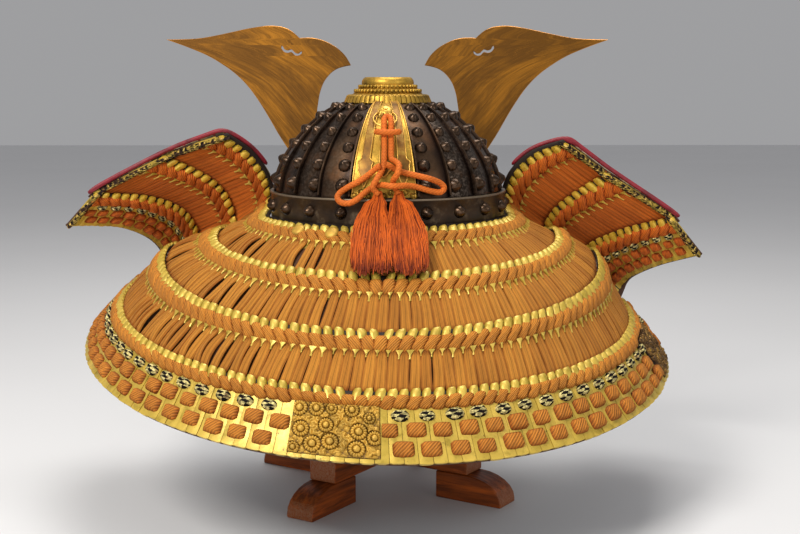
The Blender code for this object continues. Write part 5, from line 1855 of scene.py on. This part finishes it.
def lay_grain(bm, ring):
    """UV in metres along a horn and away from its middle line."""
    middle = ring.mean(0)
    heading = np.linalg.svd(ring - middle)[2][0]
    beside = np.array([-heading[1], heading[0]])
    along, off = (ring - middle) @ heading, (ring - middle) @ beside
    stops = np.linspace(along.min(), along.max(), 9)
    line = []
    for stop in stops:
        near = off[np.abs(along - stop) < 0.03]
        line.append((near.max() + near.min()) / 2 if len(near) else 0.0)
    for older in bm.loops.layers.uv.values():
        bm.loops.layers.uv.remove(older)
    lies = bm.loops.layers.uv.new("UVMap")
    for face in bm.faces:
        for loop in face.loops:
            spot = np.array(loop.vert.co[:2]) - middle
            run = float(spot @ heading)
            loop[lies].uv = (run, float(spot @ beside) - float(np.interp(run, stops, line)))


class KABUTO_OT_horns(bpy.types.Operator):
    """Cut the two horns from thin plate, pierced with their double wave, and set their mount"""

    bl_idname = "kabuto.horns"
    bl_label = "Horns"

    def execute(self, context):
        for side in ("left", "right"):
            self.horn(f"horn_{side}")
        rounded("horn_mount", "mount_plate", [gilt_copper()])
        return {"FINISHED"}

    def horn(self, node):
        """A filled flat curve, made a mesh and then laid on the plane of its solid."""
        outlines, middle, across, climb, facing = face_outlines(node)
        curve = bpy.data.curves.new(node + "_outline", "CURVE")
        curve.dimensions = "2D"
        curve.fill_mode = "BOTH"
        curve.extrude = HORN_THICKNESS / 2 - HORN_CHAMFER
        curve.bevel_depth = HORN_CHAMFER
        curve.bevel_resolution = 0
        curve.offset = -HORN_CHAMFER
        for ring in outlines:
            loop = smooth_loop(ring)
            spline = curve.splines.new("POLY")
            spline.points.add(len(loop) - 1)
            for point, (x, y) in zip(spline.points, loop):
                point.co = (x, y, 0, 1)
            spline.use_cyclic_u = True
        holder = placed(node + "_outline", curve)
        bm = bmesh.new()
        bm.from_mesh(bpy.data.meshes.new_from_object(holder))
        bpy.data.objects.remove(holder, do_unlink=True)
        joined(bm)
        lay_grain(bm, np.array(max(outlines, key=len)))
        away_from = -facing if across.cross(climb).dot(facing) < 0 else facing
        turn = Matrix((across, climb, away_from)).transposed().to_4x4()
        bmesh.ops.transform(bm, matrix=Matrix.Translation(middle) @ turn, verts=bm.verts)
        faced(bm)
        for face in bm.faces:
            # side and chamfer faces take the lighter gilding, a painted highlight
            face.material_index = 0 if abs(face.normal.dot(facing)) > 0.9 else 1
        from_bmesh(f"pierced_{node}", bm, [horn_gilding(), gilt_edge()], [node], 25)


class KABUTO_OT_visor(bpy.types.Operator):
    """Smooth the visor and lacquer it black"""

    bl_idname = "kabuto.visor"
    bl_label = "Visor"

    def execute(self, context):
        rounded("visor", "visor_plate", [black_lacquer()])
        return {"FINISHED"}


# ---- stand ----

BAR_EDGE, TURNED_EDGE = 0.0011, 0.0010  # how far the wood's edges are eased
BARS = ["bar_lower", "bar_upper", "foot_1", "foot_2", "foot_3", "foot_4"]
TURNED = (("post", 64, (0, 0, 1)), ("cap", 96, (1, 0, 0)))  # with their sides and the way of their grain


def wooden(node, name, bm, along, shift, edge):
    """A wooden piece. Points carry their place along, across and up the grain, faces how far they cut it."""
    lie = bm.verts.layers.float_vector.new("grain")
    cut = bm.faces.layers.float.new("end_grain")
    across = along.cross(Vector((0, 0, 1))) if abs(along.z) < 0.5 else Vector((0, 1, 0))
    up = along.cross(across)
    for vert in bm.verts:
        place = Vector((vert.co.dot(along), vert.co.dot(across), vert.co.dot(up)))
        vert[lie] = place + Vector((shift, shift, 0))
    for face in bm.faces:
        face[cut] = max(0.0, min(1.0, (abs(face.normal.dot(along)) - 0.55) / 0.4))
    eased_edges(from_bmesh(name, bm, [stand_wood()], [node], creases=30), edge)


def turning(node, sides):
    """The turned shape that a solid is: the outline that it spins to."""
    middle = sum(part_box(node), Vector()) / 2
    bm = merged(node)
    rings = {}
    for vert in bm.verts:
        level = round(vert.co.z, 4)
        rings[level] = max(rings.get(level, 0.0), (vert.co - middle).xy.length)
    bm.free()
    levels = sorted(rings)
    profile = [(0.0, levels[0])] + [(rings[level], level) for level in levels]
    if profile[-1][0] > 1e-4:
        profile.append((0.0, levels[-1]))
    return spun(profile, sides, (middle.x, middle.y, 0))


class KABUTO_OT_stand(bpy.types.Operator):
    """Make the wooden stand: two halved bars on four feet, a post and a rounded cap"""

    bl_idname = "kabuto.stand"
    bl_label = "Stand"

    def execute(self, context):
        for number, name in enumerate(BARS):
            bm = whole_faces(f"stand_{name}")
            spots = np.array([vert.co[:2] for vert in bm.verts])
            heading = np.linalg.svd(spots - spots.mean(0))[2][0]
            wooden(f"stand_{name}", name, bm, Vector((*heading, 0)), 0.7 * number, BAR_EDGE)
        for name, sides, along in TURNED:
            node = f"stand_{name}"
            wooden(node, name, turning(node, sides), Vector(along), 3.1, TURNED_EDGE)
        return {"FINISHED"}


# ---- stage ----

LIGHTS = (  # place, size, power and colour
    ("key", (-0.85, -1.15, 1.45), 0.7, 28, (1.0, 0.96, 0.90)),
    ("fill", (1.3, -1.2, 0.9), 0.9, 6, (1.0, 0.98, 0.96)),
    ("top", (0.1, 0.30, 1.8), 0.9, 17, (1.0, 0.98, 0.94)),
    ("low", (-0.4, -1.9, 0.35), 1.0, 5, (1.0, 0.98, 0.96)),
)
LENS = 59.94  # millimetres
CAMERA_AWAY, CAMERA_UP = 1.18, 0.37
LOOK_DOWN, LOOK_ASIDE = 8.2, 0.52  # degrees


class KABUTO_OT_stage(bpy.types.Operator):
    """Set a pale floor, soft lights and the camera behind the helmet"""

    bl_idname = "kabuto.stage"
    bl_label = "Stage"

    def execute(self, context):
        scene = context.scene
        bm = bmesh.new()
        bmesh.ops.create_grid(bm, x_segments=1, y_segments=1, size=6)
        mesh = bpy.data.meshes.new("floor")
        bm.to_mesh(mesh)
        bm.free()
        mesh.materials.append(pale_floor())
        placed("floor", mesh)
        target = Vector((*AXIS[:2], 0.2))
        for name, place, size, power, colour in LIGHTS:
            light = bpy.data.lights.new(name, "AREA")
            light.size = size
            light.energy = power
            light.color = colour
            turn = (target - Vector(place)).to_track_quat("-Z", "Y").to_euler()
            self.set_up(name, light, place, turn)
        world = bpy.data.worlds.new("studio")
        world.use_nodes = True
        air = world.node_tree.nodes["Background"].inputs
        air["Color"].default_value = (0.86, 0.86, 0.88, 1)
        air["Strength"].default_value = 0.40
        scene.world = world
        camera = bpy.data.cameras.new("camera")
        camera.lens = LENS
        turn = (math.radians(90 - LOOK_DOWN), 0, math.radians(-LOOK_ASIDE))
        scene.camera = self.set_up("camera", camera, (AXIS[0], AXIS[1] - CAMERA_AWAY, CAMERA_UP), turn)
        scene.view_settings.view_transform = "Standard"
        return {"FINISHED"}

    def set_up(self, name, data, place, turn):
        made = placed(name, data)
        made.location = place
        made.rotation_euler = turn
        return made


class KABUTO_PT_panel(bpy.types.Panel):
    bl_label = "Kabuto Helmet"
    bl_idname = "KABUTO_PT_panel"
    bl_space_type = "VIEW_3D"
    bl_region_type = "UI"
    bl_category = "Kabuto"

    def draw(self, context):
        scene = context.scene
        for group in (scene.kabuto_sizes, scene.kabuto_colours):
            column = self.layout.column(align=True)
            for name in type(group).__annotations__:
                column.prop(group, name)
        column = self.layout.column(align=True)
        for operator in OPERATORS:
            column.operator(operator.bl_idname)


OPERATORS = (
    KABUTO_OT_lames,
    KABUTO_OT_lacing,
    KABUTO_OT_rim,
    KABUTO_OT_wings,
    KABUTO_OT_flower_plates,
    KABUTO_OT_bowl,
    KABUTO_OT_crown,
    KABUTO_OT_back_plate,
    KABUTO_OT_cords,
    KABUTO_OT_horns,
    KABUTO_OT_visor,
    KABUTO_OT_stand,
    KABUTO_OT_stage,
)
CLASSES = (KabutoSizes, KabutoColours, *OPERATORS, KABUTO_PT_panel)


def register():
    for made in CLASSES:
        bpy.utils.register_class(made)
    bpy.types.Scene.kabuto_sizes = PointerProperty(type=KabutoSizes)
    bpy.types.Scene.kabuto_colours = PointerProperty(type=KabutoColours)


def unregister():
    del bpy.types.Scene.kabuto_colours
    del bpy.types.Scene.kabuto_sizes
    for made in reversed(CLASSES):
        bpy.utils.unregister_class(made)


def main():
    register()
    for operator in OPERATORS:
        group, name = operator.bl_idname.split(".")
        getattr(getattr(bpy.ops, group), name)()


if __name__ == "__main__":
    main()
